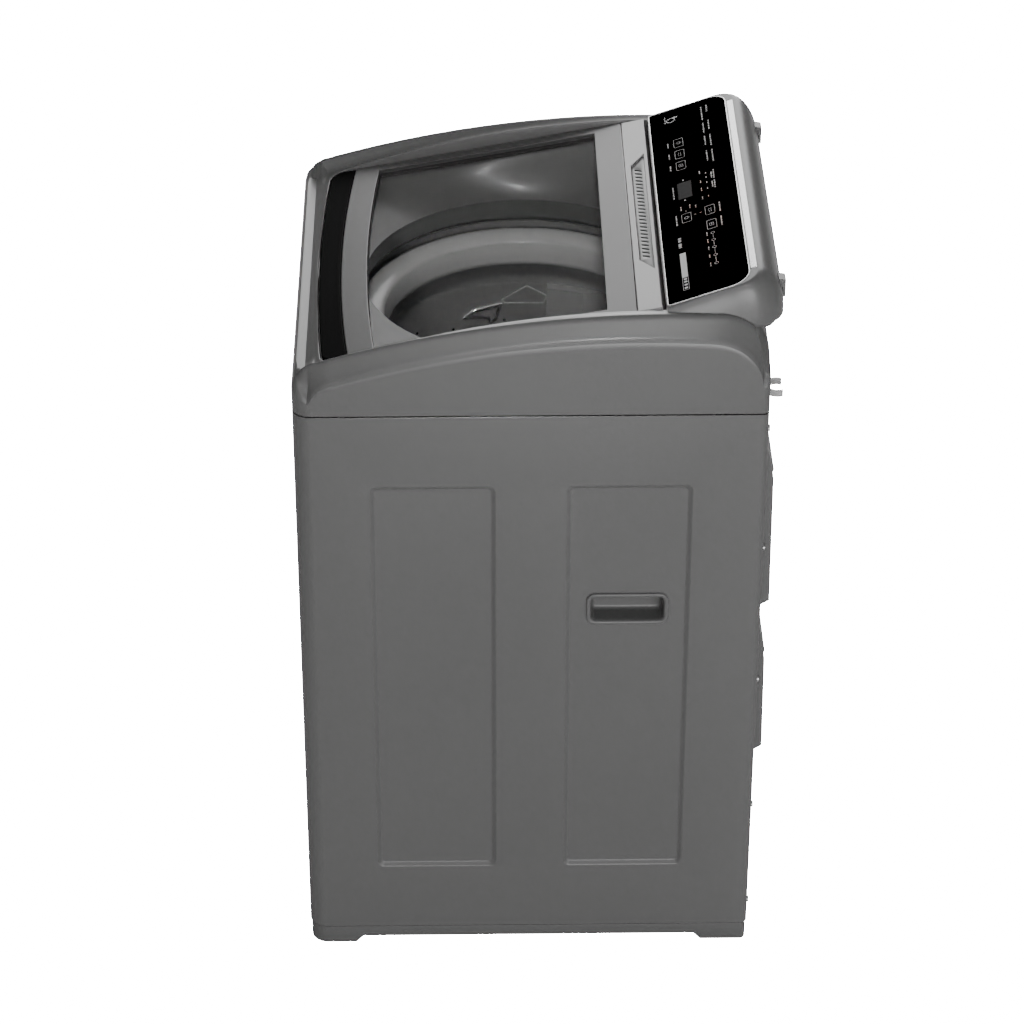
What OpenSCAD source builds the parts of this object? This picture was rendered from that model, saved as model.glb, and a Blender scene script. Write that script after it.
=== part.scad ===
// Top-loading washing machine: steel cabinet, arched plastic top with a glazed lid,
// sloped control console, and a hanging tub with a spinning basket and a pulsator.
// Millimetres, +Z up. The origin lies on the floor under the middle of the outline.
// -Y is the front, +X is the right-hand side as seen from the front.

/* [Cabinet] */
// Overall width
body_w = 550; // [540:2:570]
// Depth of the cabinet, front face to rear face
cabinet_d = 550; // [540:2:560]
// Overall depth, front face to the rearmost fitting
overall_d = 570; // [566:1:580]
// Height of the seam between the cabinet and the top deck
cabinet_top = 780; // [770:5:800]
// Height of the seam between the plinth and the cabinet
plinth_top = 30; // [26:1:36]
// Radius of the two front upright edges
front_r = 22; // [16:1:28]
// Radius of the two rear upright edges
rear_r = 8; // [5:1:12]
// Thickness of the cabinet sheet
sheet = 1.2; // [0.8:0.1:2]

/* [Side panels] */
// Width of each pressed rectangle
recess_w = 146; // [120:2:160]
// Lower edge of the pressed rectangles
recess_bottom = 126; // [100:2:160]
// Upper edge of the pressed rectangles
recess_top = 684; // [620:2:700]
// Depth of the pressed rectangles
recess_depth = 4; // [2:0.5:6]
// Length of the side handle's bezel
handle_w = 98; // [80:2:120]
// Height of the side handle's bezel
handle_h = 44; // [36:2:60]

/* [Lid] */
// Tilt of the lid, falling to the front
lid_tilt = 10.4; // [9:0.1:11]
// Length of the lid along its slope
lid_len = 405.7; // [400:1:408]
// Half-width of the lid at the hinge
lid_half_w = 237.5; // [236:0.5:238]
// Thickness of the lid's edge
lid_edge = 10; // [8:0.5:10.5]

/* [Console] */
// Slope of the control panel
panel_tilt = 19.5; // [18:0.5:21]
// Half-width of the control panel
panel_half_w = 238; // [230:1:239]
// Length of the control panel along its slope
panel_len = 97; // [94:1:98]
// Width of a key
key_w = 23; // [18:1:24]
// Height of a key
key_h = 13; // [10:1:14]
// Travel of a key
key_travel = 0.6; // [0.3:0.1:0.8]

/* [Tub and drive] */
// Inner radius of the outer tub
tub_r = 232; // [226:1:234]
// Outer radius of the basket
basket_r = 202; // [196:1:203]
// Radius of the mouth in the top deck
mouth_r = 193.5; // [190:0.5:195]
// Radius of the pulsator
impeller_r = 178; // [150:2:184]
// Radius of the drive shaft
shaft_r = 7; // [6:0.5:9]
// Radius at the bottom of the large pulley's groove
big_groove_r = 69; // [60:1:80]
// Radius at the bottom of the small pulley's groove
small_groove_r = 16; // [14:1:20]

/* [Hidden] */

$fn = 96;
eps = 0.01;
gap = 0.3;                                // clearance between parts that part or slide
fit = 0.05;                               // radial clearance of a running fit

half_w = body_w / 2;
front_y = -overall_d / 2;
rear_y = front_y + cabinet_d;
tub_y = front_y + cabinet_d / 2 - 2;      // axis of the tub, basket and drive

cabinet_grey = "dimgray";
trim_grey = "gray";

// Side pressings and the handles in the rear ones
recess_front_y = -124;
recess_rear_y = 106;
recess_mid_z = (recess_bottom + recess_top) / 2;
recess_h = recess_top - recess_bottom;
handle_z = 509.5;
handle_face_x = half_w - recess_depth;

// Arched top: arcs as [y, z, radius] for the side's upper edge and the rim inside the ridge
side_arch = [120, -300, 1180];
rim_arch = [153, -281, 1180];
// Crest of the ridge outside the rim, and its half-width
ridge_arch = [140, -498.8, 1400];
ridge_half_w = 254;
rim_half_w = 250;
deck_wall = 3;

// Lid frame of reference: the middle of the lid's rear top edge
lid_rear = [0, 140.5, 901.4];
lid_seam = -28.5;                         // seam between the lid frame and its rear plate
lid_front_r = 18;
handle_back = -379.4;
window_front = -347.6;
window_rear = -63.3;
window_half_w = 221.5;
bow_r = 2120;
front_bow_r = 3000;
hinge_y = 131.5;
hinge_z = 891.5;
pin_r = 4;
slot_end_y = 145.3;                       // rear edge of the slot behind the lid

// Console frame of reference: the middle of the panel's lower edge
panel_origin = [0, 147.5, 904];
panel_t = 3;
console_half_w = 250;
console_rear = 281.5;
console_bottom = 880;
strip_from = panel_len + 2.4;
strip_to = panel_len + 10.4;
strip_half_w = 213;
display_at = [-21, 34];
display_size = [41, 18];
keys = [[-145, 33], [-115, 33], [-85, 33], [48, 32.5], [46, 61.5], [81.5, 61.5]];

// Heights inside the machine, from the pulleys up
pulley_z = 80;
pulley_h = 14;
gearcase_z = 104;
tub_floor = 215;
tub_rim = 745;
basket_floor = 244;
basket_rim = 731;
ring_top = 771;
ring_inner_r = 167;
tub_wall = 4;
tube_r = 15;
bearing_r = 30;
lower_bearing_r = 28;
motor_at = [130, tub_y - 95];
motor_r = 58;
motor_top = 203;

// Suspension: rod places, the lugs on the tub and the seats under the springs
rod_x = 240;
rod_y = 238;
rod_r = 4;
lug_z = 330;
seat_z = 246;
hanger_z = 764;

foot_x = 240;
foot_front_y = -254;
foot_rear_y = 235;
inlet_at = [-190, 815];
drain_at = [-200, 95];
gland_at = [-130, 130];
clip_at = [200, 772];
screw_x = half_w - 12;
screw_z = [60, 210, 400, 590, 755];

// ---- Shared outlines and helpers ----

// Rectangle with true round corners, centred
module rounded_rect(size, r) {
    square([size.x - 2 * r, size.y], center = true);
    square([size.x, size.y - 2 * r], center = true);
    for (sx = [-1, 1], sy = [-1, 1])
        translate([sx * (size.x / 2 - r), sy * (size.y / 2 - r)]) circle(r);
}

// Plan outline of the cabinet, drawn in by inset
module plan(inset = 0) {
    rf = front_r - inset;
    rr = max(rear_r - inset, 1);
    w = half_w - inset;
    f = front_y + inset;
    b = rear_y - inset;
    for (s = [-1, 1]) {
        translate([s * (w - rf), f + rf]) circle(rf);
        translate([s * (w - rr), b - rr]) circle(rr);
    }
    translate([rf - w, f]) square([2 * (w - rf), b - f - rr]);
    translate([-w, f + rf]) square([2 * w, b - f - rf - rr]);
    translate([rr - w, b - 2 * rr]) square([2 * (w - rr), 2 * rr]);
}

// Places a Y-Z outline so that it runs along X, centred
module along_x(length) {
    rotate([90, 0, 90]) translate([0, 0, -length / 2]) linear_extrude(length) children();
}

// Upright round bar standing at a place in plan
module post(at, r, z0, z1) {
    translate([at.x, at.y, z0]) cylinder(r = r, h = z1 - z0);
}

// Ring about the tub's axis
module tub_ring(outer, inner, z0, z1) {
    translate([0, tub_y, z0]) difference() {
        cylinder(r = outer, h = z1 - z0);
        translate([0, 0, -1]) cylinder(r = inner, h = z1 - z0 + 2);
    }
}

// Turned profile about the tub's axis
module turned() {
    translate([0, tub_y, 0]) rotate_extrude($fn = 128) children();
}

// Fitting that comes out of the rear face at [x, z]
module rear_axis(at, y) {
    translate([at.x, y, at.y]) rotate([-90, 0, 0]) children();
}

module on_panel() {
    translate(panel_origin) rotate([panel_tilt, 0, 0]) children();
}

module on_lid() {
    translate(lid_rear) rotate([lid_tilt, 0, 0]) children();
}

// ---- Cabinet ----

// Bevelled pocket of the side pressing at y, on the side s (-1 or 1)
module pressing(y, s) {
    bevel = 5;
    $fn = 32;
    hull() {
        translate([s * half_w, y, recess_mid_z]) rotate([90, 0, 90])
            linear_extrude(eps, center = true) rounded_rect([recess_w, recess_h], 8);
        translate([s * (half_w - recess_depth), y, recess_mid_z]) rotate([90, 0, 90])
            linear_extrude(eps, center = true)
                rounded_rect([recess_w - 2 * bevel, recess_h - 2 * bevel], 4);
    }
}

module cabinet_wrap() {
    rear_return = 16;
    pad = recess_depth + sheet;
    color(cabinet_grey) difference() {
        union() {
            translate([0, 0, plinth_top]) linear_extrude(cabinet_top - plinth_top) difference() {
                plan();
                plan(sheet);
            }
            for (s = [-1, 1], y = [recess_front_y, recess_rear_y])
                translate([s * (half_w - pad / 2 - sheet / 4), y, recess_mid_z])
                    cube([pad - sheet / 2, recess_w + 2, recess_h + 2], center = true);
        }
        for (s = [-1, 1], y = [recess_front_y, recess_rear_y]) pressing(y, s);
        translate([rear_return - half_w, rear_y - 4, plinth_top - 1])
            cube([body_w - 2 * rear_return, 8, cabinet_top - plinth_top + 2]);
        for (s = [-1, 1])
            translate([s * handle_face_x, recess_rear_y, handle_z]) rotate([90, 0, 90])
                linear_extrude(20, center = true) rounded_rect([handle_w - 4, handle_h - 4], 8);
        for (s = [-1, 1], z = screw_z)
            rear_axis([s * screw_x, z], rear_y - 1.5 * sheet) cylinder(r = 2.3, h = 6);
    }
}

// Side profile of a hollow pressing on the rear panel: heights [top, shoulder, notch, low, bottom]
module rear_bulge(z, rise) {
    y0 = rear_y - sheet;
    notch = 6;
    points = [[y0 - eps, z[0]], [y0 + rise - 1.5, z[1]], [y0 + rise - 3.5, z[1] - notch],
              [y0 + rise - 1.5, z[1] - 2 * notch], [y0 + rise, z[2]], [y0 - eps, z[2] - 8]];
    inner = [[y0 - sheet - 1, z[0] - 3], [y0, z[0] - 3], [y0 + rise - 3, z[1] - 1],
             [y0 + rise - 5, z[1] - notch], [y0 + rise - 3, z[1] - 2 * notch - 1],
             [y0 + rise - 1.5, z[2] + 1], [y0, z[2] - 5], [y0 - sheet - 1, z[2] - 5]];
    difference() {
        along_x(2 * rim_half_w) polygon(points);
        along_x(2 * rim_half_w - 4) polygon(inner);
    }
}

module rear_panel() {
    half = half_w - 9;
    upper = [727, 690, 505];
    lower = [478, 432, 290];
    color(cabinet_grey) difference() {
        union() {
            translate([-half, rear_y - 2 * sheet, plinth_top + 6])
                cube([2 * half, sheet, cabinet_top - plinth_top - 10]);
            rear_bulge(upper, 13);
            rear_bulge(lower, 12);
        }
        for (z = [upper, lower])
            translate([4 - rim_half_w, rear_y - 3 * sheet, z[2] + 2])
                cube([2 * rim_half_w - 8, 2 * sheet, z[1] - z[2] - 12]);
        rear_axis(drain_at, rear_y - 5) cylinder(r = 17, h = 10);
        rear_axis(gland_at, rear_y - 5) cylinder(r = 9, h = 10);
    }
}

module base_frame() {
    block = 60;
    color(cabinet_grey) difference() {
        union() {
            translate([0, 0, 15]) linear_extrude(plinth_top - 15 - gap) difference() {
                plan(1.5);
                plan(6);
            }
            translate([0, 0, 20]) linear_extrude(35) difference() {
                plan(sheet + gap);
                plan(6);
            }
            for (sx = [-1, 1], y = [front_y, rear_y - block])
                translate([0, 0, 6]) linear_extrude(plinth_top - 6 - gap) intersection() {
                    plan(2);
                    translate([sx > 0 ? half_w - block : -half_w, y]) square(block);
                }
        }
        translate([8.5 - half_w, rear_y - 2 * sheet - gap, plinth_top])
            cube([body_w - 17, 10, 60]);
        for (sx = [-1, 1], y = [foot_front_y, foot_rear_y]) {
            post([sx * foot_x, y], 23, 0, 16);
            post([sx * foot_x, y], 5 + fit, 0, 80);
        }
    }
}

// Levelling foot: rubber-shod pad, lock nut and threaded stud
module foot(x, y) {
    color("black") {
        post([x, y], 20, 0, 6);
        post([x, y], 12, 6, 9);
    }
    color("silver") {
        translate([x, y, 9]) cylinder(r = 9.5, h = 6.7, $fn = 6);
        post([x, y], 5, 15, 50);
    }
}

module foot_front_left() foot(-foot_x, foot_front_y);

module foot_front_right() foot(foot_x, foot_front_y);

module rear_feet() {
    for (s = [-1, 1]) foot(s * foot_x, foot_rear_y);
}

// Recessed grip let into the rear pressing
module side_handle(s) {
    depth = 26;
    wall = 2.5;
    cavity = [handle_w - 11, handle_h - 12];
    color(cabinet_grey) translate([s * handle_face_x, recess_rear_y, handle_z])
        rotate([90, 0, s * 90]) difference() {
            union() {
                linear_extrude(3) rounded_rect([handle_w, handle_h], 11);
                translate([0, 0, -depth]) linear_extrude(depth + eps)
                    rounded_rect([handle_w - 4.6, handle_h - 4.6], 8);
            }
            translate([0, 0, wall - depth]) linear_extrude(depth + 4) rounded_rect(cavity, 8);
        }
}

module side_handle_left() side_handle(-1);

module side_handle_right() side_handle(1);

// Plates across the cabinet's upper corners that the tub hangs from
module corner_brackets() {
    reach = 70;
    color("silver") for (sx = [-1, 1], sy = [-1, 1]) {
        corner = [sx * (half_w - sheet - gap), sy > 0 ? rear_y - 3 : front_y + sheet + gap];
        difference() {
            translate([0, 0, hanger_z]) linear_extrude(4) intersection() {
                plan(3.2);
                polygon([corner, [corner.x - sx * reach, corner.y], [corner.x, corner.y - sy * reach]]);
            }
            post([sx * rod_x, tub_y + sy * rod_y], rod_r + 1, 700, 800);
        }
    }
}

// ---- Top deck ----

// Height of the arc at y
function arc_z(c, y) = c[1] + sqrt(c[2] * c[2] - (y - c[0]) * (y - c[0]));

// Height of a quarter round that ends the arch, centred on c with radius r
function shoulder_z(c, r, y) = c[1] + sqrt(max(r * r - (y - c[0]) * (y - c[0]), 0));

// Crest of the ridge: the arch, with an elliptical round-off at the front
function ridge_z(y) = y < -255 ? 800 + 44.3 * sqrt(max(1 - pow((y + 255) / 31, 2), 0))
    : y > 205 ? shoulder_z([205, 839.7], 60, y) : arc_z(ridge_arch, y);

// Rim inside the ridge, with a low lip along the front
function rim_z(y) = min(ridge_z(y), y < -270 ? 821 - 0.35 * (y + 270)
    : y > 205 ? shoulder_z([205, 839], 60, y) : arc_z(rim_arch, y));

function side_z(y) = y < -235 ? shoulder_z([-235, 795], 30, max(y, -264.9))
    : y > 197 ? shoulder_z([197, 817], 60, min(y, 256.9)) : arc_z(side_arch, y);

// Stations along Y, closer together on the two shoulders
deck_stations = concat(
    [for (a = [0:12:72]) -255 - 30 * cos(a)],
    [for (i = [0:12]) -255 + i * 460 / 12],
    [for (a = [15:15:90]) 205 + 60 * sin(a)]);

// Half of the deck's cross-section at y, from the seam up to the middle
function deck_half(y, g) = [
    [half_w + g, cabinet_top - (g < 0 ? 5 : 0)],
    [half_w + g, side_z(y) - 2 + g],
    [half_w - 4 + g, side_z(y) + 2 + g],
    [ridge_half_w + g, ridge_z(y) + g],
    [ridge_half_w - 11, rim_z(y) + g]
];

function deck_section(y, g) = let (h = deck_half(y, g))
    concat([for (p = h) [p[0], y + (y > 0 ? g : -g) * (abs(y) > 240 ? 1 : 0), p[1]]],
           [for (i = [len(h) - 1:-1:0]) [-h[i][0], y + (y > 0 ? g : -g) * (abs(y) > 240 ? 1 : 0), h[i][1]]]);

// Arched block under the deck's outer skin, grown by g
module deck_block(g = 0) {
    n = len(deck_stations);
    m = len(deck_section(0, 0));
    points = [for (y = deck_stations) each deck_section(y, g)];
    skin = [for (i = [0:n - 2], j = [0:m - 1])
        [i * m + j, i * m + (j + 1) % m, (i + 1) * m + (j + 1) % m, (i + 1) * m + j]];
    caps = [[for (j = [m - 1:-1:0]) j], [for (j = [0:m - 1]) (n - 1) * m + j]];
    polyhedron(points, concat(skin, caps), convexity = 6);
}

// Plan of the lid in its own frame, drawn out by g: bowed front edge, round front corners
module lid_2d(g = 0) {
    inner_r = front_bow_r - lid_front_r;
    cx = lid_half_w - 4.2 - lid_front_r;
    cy = front_bow_r - lid_len - sqrt(inner_r * inner_r - cx * cx);
    touch = cx * (front_bow_r + g) / inner_r;
    side = cx + lid_front_r + g;
    intersection() {
        translate([0, front_bow_r - lid_len]) circle(front_bow_r + g, $fn = 720);
        polygon([[-lid_half_w - g, g], [lid_half_w + g, g], [side, cy], [touch, cy],
                 [touch, -lid_len - 9], [-touch, -lid_len - 9], [-touch, cy], [-side, cy]]);
    }
    for (s = [-1, 1]) translate([s * cx, cy]) circle(lid_front_r + g);
}

// Everything behind a bowed line across the lid that crosses the middle at y
module behind(y) {
    translate([0, y + bow_r]) circle(bow_r, $fn = 720);
}

// Mouth of the deck: round at the front, straight at the rear
module mouth_2d(g = 0) {
    intersection() {
        translate([0, tub_y]) circle(mouth_r + g, $fn = 192);
        translate([-260, -260]) square([520, 352 + g]);
    }
}

module top_deck() {
    seat = -11;
    trough = [[-239, 117], [478, slot_end_y - 117]];
    color(cabinet_grey) difference() {
        union() {
            intersection() {
                difference() {
                    deck_block();
                    translate([0, 0, -eps]) deck_block(-deck_wall);
                }
                translate([0, 0, cabinet_top - 10]) linear_extrude(200) plan();
            }
            // Walls and floor of the lid's well, and the skirt round the mouth
            intersection() {
                deck_block(-1);
                union() {
                    difference() {
                        on_lid() translate([0, 0, seat - deck_wall]) linear_extrude(80) lid_2d(4.5);
                        on_lid() translate([0, 0, seat]) linear_extrude(90) lid_2d(1.5);
                    }
                    translate([-242, 114, 877]) cube([484, 36, 14]);
                    translate([0, 0, 797]) linear_extrude(90) mouth_2d(deck_wall);
                    for (s = [-1, 1]) translate([s * 244.5, hinge_y, hinge_z])
                        rotate([0, 90, 0]) cylinder(r = 8.5, h = 11, center = true);
                }
            }
            // Upstand under the console's overhang
            translate([0, rear_y - 10, 853]) linear_extrude(console_bottom - 853) rounded_rect([410, 39], 14);
        }
        // Well, trough for the hinges, slot behind the lid and the mouth
        on_lid() translate([0, 0, seat]) linear_extrude(90) intersection() {
            lid_2d(1.5);
            translate([-300, -500]) square([600, 500]);
        }
        translate([trough[0].x, trough[0].y, console_bottom]) cube([trough[1].x, trough[1].y, 60]);
        translate([-rim_half_w, lid_rear.y, 888]) cube([2 * rim_half_w, slot_end_y - lid_rear.y, 40]);
        translate([0, 0, 700]) linear_extrude(230) mouth_2d();
        // Hollow behind the upstand, the way in for the wiring, and bores
        translate([-200, 150, 800]) cube([400, rear_y - 154, 60]);
        translate([-150, 160, 850]) cube([300, 60, 80]);
        for (s = [-1, 1]) translate([s * 244.5, hinge_y, hinge_z])
            rotate([0, 90, 0]) cylinder(r = pin_r, h = 30, center = true);
        rear_axis(inlet_at, rear_y - 8) cylinder(r = 16, h = 30);
    }
}

module hinge_pins() {
    color("silver") for (s = [-1, 1]) translate([s * 237, hinge_y, hinge_z])
        rotate([0, 90, 0]) cylinder(r = pin_r, h = 24, center = true);
}

// ---- Lid ----

module window_2d(g = 0) {
    intersection() {
        translate([-window_half_w - g, -400]) square([2 * (window_half_w + g), 400 + window_rear + g]);
        behind(window_front - g);
    }
}

module lid_frame() {
    color(trim_grey) on_lid() difference() {
        translate([0, 0, -lid_edge]) linear_extrude(lid_edge) intersection() {
            lid_2d();
            behind(handle_back + gap);
            translate([-300, -500]) square([600, 500 + lid_seam - gap]);
        }
        translate([0, 0, -lid_edge - 1]) linear_extrude(lid_edge + 2) window_2d();
        translate([0, 0, -lid_edge - 1]) linear_extrude(lid_edge - 0.2) window_2d(6);
        translate([0, 0, -lid_edge - 1]) linear_extrude(lid_edge - 2.2) difference() {
            intersection() {
                lid_2d(-3);
                behind(handle_back + 4);
                translate([-300, -500]) square([600, 500 + lid_seam - 4]);
            }
            window_2d(9);
        }
    }
}

module lid_window() {
    color([0.3, 0.3, 0.32, 0.5]) on_lid() translate([0, 0, -5.4]) linear_extrude(4) window_2d(5.7);
}

module lid_handle() {
    color("black") on_lid() difference() {
        translate([0, 0, -lid_edge]) linear_extrude(lid_edge) difference() {
            lid_2d();
            behind(handle_back);
        }
        translate([0, 0, -lid_edge - 1]) linear_extrude(lid_edge - 2.5) difference() {
            lid_2d(-3);
            behind(handle_back - 3);
        }
    }
}

// Trapezoid of the vent, drawn out by g
module vent_2d(g = 0) {
    polygon([[-118 - g, -20.5 - g], [118 + g, -20.5 - g], [144 + g, -5 + g], [-144 - g, -5 + g]]);
}

module lid_rear_plate() {
    boss_x = 218;
    boss_w = 16;
    back = hinge_y - lid_rear.y;
    down = hinge_z - lid_rear.z;
    axis = [back * cos(lid_tilt) + down * sin(lid_tilt), down * cos(lid_tilt) - back * sin(lid_tilt)];
    color(trim_grey) on_lid() difference() {
        union() {
            difference() {
                translate([0, 0, -lid_edge]) linear_extrude(lid_edge) intersection() {
                    lid_2d();
                    translate([-300, lid_seam]) square([600, -lid_seam]);
                }
                translate([2.5 - lid_half_w, lid_seam + 2.5, -lid_edge - 1])
                    cube([2 * lid_half_w - 5, -lid_seam - 5, lid_edge - 1.5]);
            }
            for (s = [-1, 1]) translate([s * (boss_x + boss_w / 2), axis[0], axis[1]])
                rotate([0, 90, 0]) cylinder(r = 7, h = boss_w, center = true);
            translate([0, 0, -4]) linear_extrude(3) vent_2d(3);
        }
        for (s = [-1, 1]) translate([s * (boss_x + boss_w), axis[0], axis[1]])
            rotate([0, 90, 0]) cylinder(r = pin_r + fit, h = 2 * boss_w, center = true);
        translate([0, 0, -lid_edge]) linear_extrude(lid_edge + 1) vent_2d();
    }
}

module vent_grille() {
    pitch = 9;
    color("dimgray") on_lid() difference() {
        translate([0, 0, -5]) linear_extrude(2.4) vent_2d(-0.2);
        for (i = [-12:12]) translate([i * pitch, -13, -4]) cube([5, 7, 6], center = true);
    }
}

// ---- Console ----

module panel_2d(g = 0) {
    w = panel_half_w + g;
    low_r = max(3 + g, 1);
    top_r = 22 + g;
    for (s = [-1, 1]) {
        translate([s * (w - top_r), panel_len + g - top_r]) circle(top_r);
        translate([s * (w - low_r), low_r - g]) circle(low_r);
    }
    translate([low_r - w, -g]) square([2 * (w - low_r), 30]);
    translate([-w, low_r - g]) square([2 * w, panel_len - 22 - low_r + g]);
    translate([top_r - w, 20]) square([2 * (w - top_r), panel_len + g - 20]);
}

// Solid of the console's outside, drawn in by g
module console_block(g = 0) {
    corner_r = 42 - g;
    half = console_half_w - g;
    hull() {
        translate([0, 0, console_bottom]) linear_extrude(9 - g) {
            translate([-half, slot_end_y + g]) square([2 * half, 40]);
            for (s = [-1, 1])
                translate([s * (half - corner_r), console_rear - g - corner_r]) circle(corner_r);
        }
        on_panel() translate([0, 0, -4]) linear_extrude(4 - g) intersection() {
            panel_2d(3 - g);
            translate([-300, -2 + g]) square([600, 200]);
        }
        on_panel() translate([0, 103, -9]) rotate([0, 90, 0])
            cylinder(r = 9 - g, h = 2 * strip_half_w - g, center = true, $fn = 32);
    }
}

module console_housing() {
    color(cabinet_grey) difference() {
        console_block();
        translate([0, 0, -eps]) console_block(3);
        deck_block(gap);
        on_panel() translate([0, 0, -panel_t]) linear_extrude(20) panel_2d(2);
        on_panel() translate([0, 0, -40]) linear_extrude(60) panel_2d(-8);
        on_panel() translate([-strip_half_w - gap, strip_from - gap, -1.5])
            cube([2 * (strip_half_w + gap), strip_to - strip_from + 2 * gap, 20]);
        translate([-198, rear_y - 30, 700]) cube([396, 30, 200]);
    }
}

module control_panel() {
    color("black") on_panel() difference() {
        translate([0, 0, -panel_t]) linear_extrude(panel_t) panel_2d();
        for (k = keys) translate([k.x, k.y, 0]) cube([key_w, key_h, 20], center = true);
        translate([display_at.x, display_at.y, 0])
            cube([display_size.x, display_size.y, 20], center = true);
    }
}

module panel_trim() {
    color("silver") on_panel() {
        translate([0, 0, -2]) linear_extrude(2.4) difference() {
            panel_2d(1.8);
            panel_2d(0.1);
        }
        translate([-strip_half_w, strip_from, -1.5])
            cube([2 * strip_half_w, strip_to - strip_from, 2]);
    }
}

module display_window() {
    color([0.1, 0.1, 0.1]) on_panel() translate([display_at.x, display_at.y, -panel_t / 2 - 0.1])
        cube([display_size.x - 0.4, display_size.y - 0.4, panel_t - 0.2], center = true);
}

// Key cap that fills its window in the panel, with a lip behind it and a stem
module key_cap(k) {
    color("black") on_panel() translate([k.x, k.y, 0]) {
        translate([0, 0, -panel_t / 2]) cube([key_w - 0.6, key_h - 0.6, panel_t], center = true);
        translate([0, 0, -panel_t - 0.9]) cube([key_w + 3, key_h + 3, 1.4], center = true);
        translate([0, 0, -7]) cylinder(r = 3, h = 3);
        translate([0, 0, -panel_t - 0.3]) cube([key_w - 0.6, key_h - 0.6, 0.8], center = true);
    }
}

module key_1() key_cap(keys[0]);
module key_2() key_cap(keys[1]);
module key_3() key_cap(keys[2]);
module key_4() key_cap(keys[3]);
module key_5() key_cap(keys[4]);
module key_6() key_cap(keys[5]);

// Circuit board with a switch under each key, the display and its relays
module control_board() {
    board_z = -14;
    color("darkgreen") on_panel() {
        translate([-149.5, 14, board_z]) cube([299, 68, 1.6]);
        for (k = keys) translate([k.x, k.y, board_z + 1.5]) {
            translate([0, 0, 1.5]) cube([7, 7, 3], center = true);
            cylinder(r = 2, h = 4.7);
        }
        translate([display_at.x, display_at.y, board_z + 5])
            cube([display_size.x - 2, display_size.y - 2, 8], center = true);
        for (i = [0:3]) translate([-140 + i * 22, 18, board_z - 10]) cube([16, 20, 10 + eps]);
    }
}

// Hooks for the stowed hose on the back of the console
module hose_hooks() {
    hook_w = 15.5;
    color(cabinet_grey) difference() {
        for (s = [-1, 1]) translate([s * 192.25, 0, 0]) along_x(hook_w)
            polygon([[262, 919], [overall_d / 2 - 1, 915], [overall_d / 2 - 1, 893],
                     [overall_d / 2 - 4, 893], [overall_d / 2 - 4.5, 905], [262, 905]]);
        console_block();
    }
}

// ---- Fittings at the rear ----

// Open C-shaped clip for the drain hose
module hose_clip() {
    reach = overall_d / 2 - rear_y;
    color("lightgray") translate([clip_at.x, rear_y, clip_at.y]) difference() {
        union() {
            translate([-17, 0, -11]) cube([34, 3, 22]);
            translate([0, 14, -4]) linear_extrude(8) difference() {
                circle(16);
                circle(12.5);
                translate([-20, reach - 14]) square([40, 20]);
            }
        }
        translate([-20, -30, -20]) cube([40, 30, 40]);
    }
}

module inlet_valve() {
    thread_r = 13.2;
    body_y = 212;
    color("white") difference() {
        union() {
            rear_axis(inlet_at, rear_y - deck_wall - 6) cylinder(r = thread_r, h = 27);
            rear_axis(inlet_at, rear_y - deck_wall - 6) cylinder(r = 20, h = 5.5);
            translate([inlet_at.x - 17, body_y, inlet_at.y - 17]) cube([34, rear_y - body_y - 8, 34]);
            translate([inlet_at.x, body_y + 14, inlet_at.y + 10]) cylinder(r = 13, h = 30);
        }
        rear_axis(inlet_at, rear_y - 20) cylinder(r = 9.5, h = 60);
    }
}

// Channel that drops the incoming water into the basket
module water_inlet_box() {
    color("whitesmoke") difference() {
        translate([-95, 96.5, 838]) cube([190, 46, 38]);
        translate([-92.5, 99, 840.5]) cube([185, 41, 33]);
        for (i = [-4:4]) translate([i * 20, 96, 846]) cube([10, 10, 10], center = true);
        translate([-75, 138, 858]) rotate([-90, 0, 0]) cylinder(r = 10, h = 10);
    }
}

module drain_outlet() {
    color("black") difference() {
        union() {
            rear_axis(drain_at, rear_y - 14) cylinder(r = 15, h = 32);
            rear_axis(drain_at, rear_y - sheet * 2 - 4.5) cylinder(r = 24, h = 4);
        }
        rear_axis(drain_at, rear_y - 20) cylinder(r = 12, h = 60);
    }
}

module cable_gland() {
    color("black") difference() {
        union() {
            rear_axis(gland_at, rear_y - 12) cylinder(r = 8.7, h = 22);
            rear_axis(gland_at, rear_y + gap) cylinder(r = 12, h = 5);
        }
        rear_axis(gland_at, rear_y - 20) cylinder(r = 4.5, h = 40);
    }
}

module pressure_switch() {
    at = [150, 205];
    color("white") {
        post(at, 28, 835, 853);
        post(at, 18, 853, 862);
        post([at.x + 16, at.y], 3, 822, 836);
    }
}

module lid_switch() {
    color("black") {
        translate([205, 152, 858]) cube([26, 22, 30]);
        translate([212, 150.3, 864]) cube([12, 3, 8]);
    }
}

module cabinet_screws() {
    color("silver") {
        for (s = [-1, 1], z = screw_z) rear_axis([s * screw_x, z], rear_y - 8) {
            cylinder(r = 2, h = 8 + eps);
            translate([0, 0, 8]) cylinder(r = 4, h = 2);
        }
        for (x = [-160, 160]) rear_axis([x, 866], 274.5) cylinder(r = 4, h = 2);
    }
}

// ---- Suspension ----

module suspension_rods() {
    color("silver") for (sx = [-1, 1], sy = [-1, 1]) {
        at = [sx * rod_x, tub_y + sy * rod_y];
        post(at, rod_r, seat_z - 12, hanger_z + 8);
        post(at, 8, hanger_z + 4, hanger_z + 11);
        post(at, 21, seat_z - 4, seat_z);
        post(at, 8, seat_z - 14, seat_z - 4 + eps);
    }
}

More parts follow.
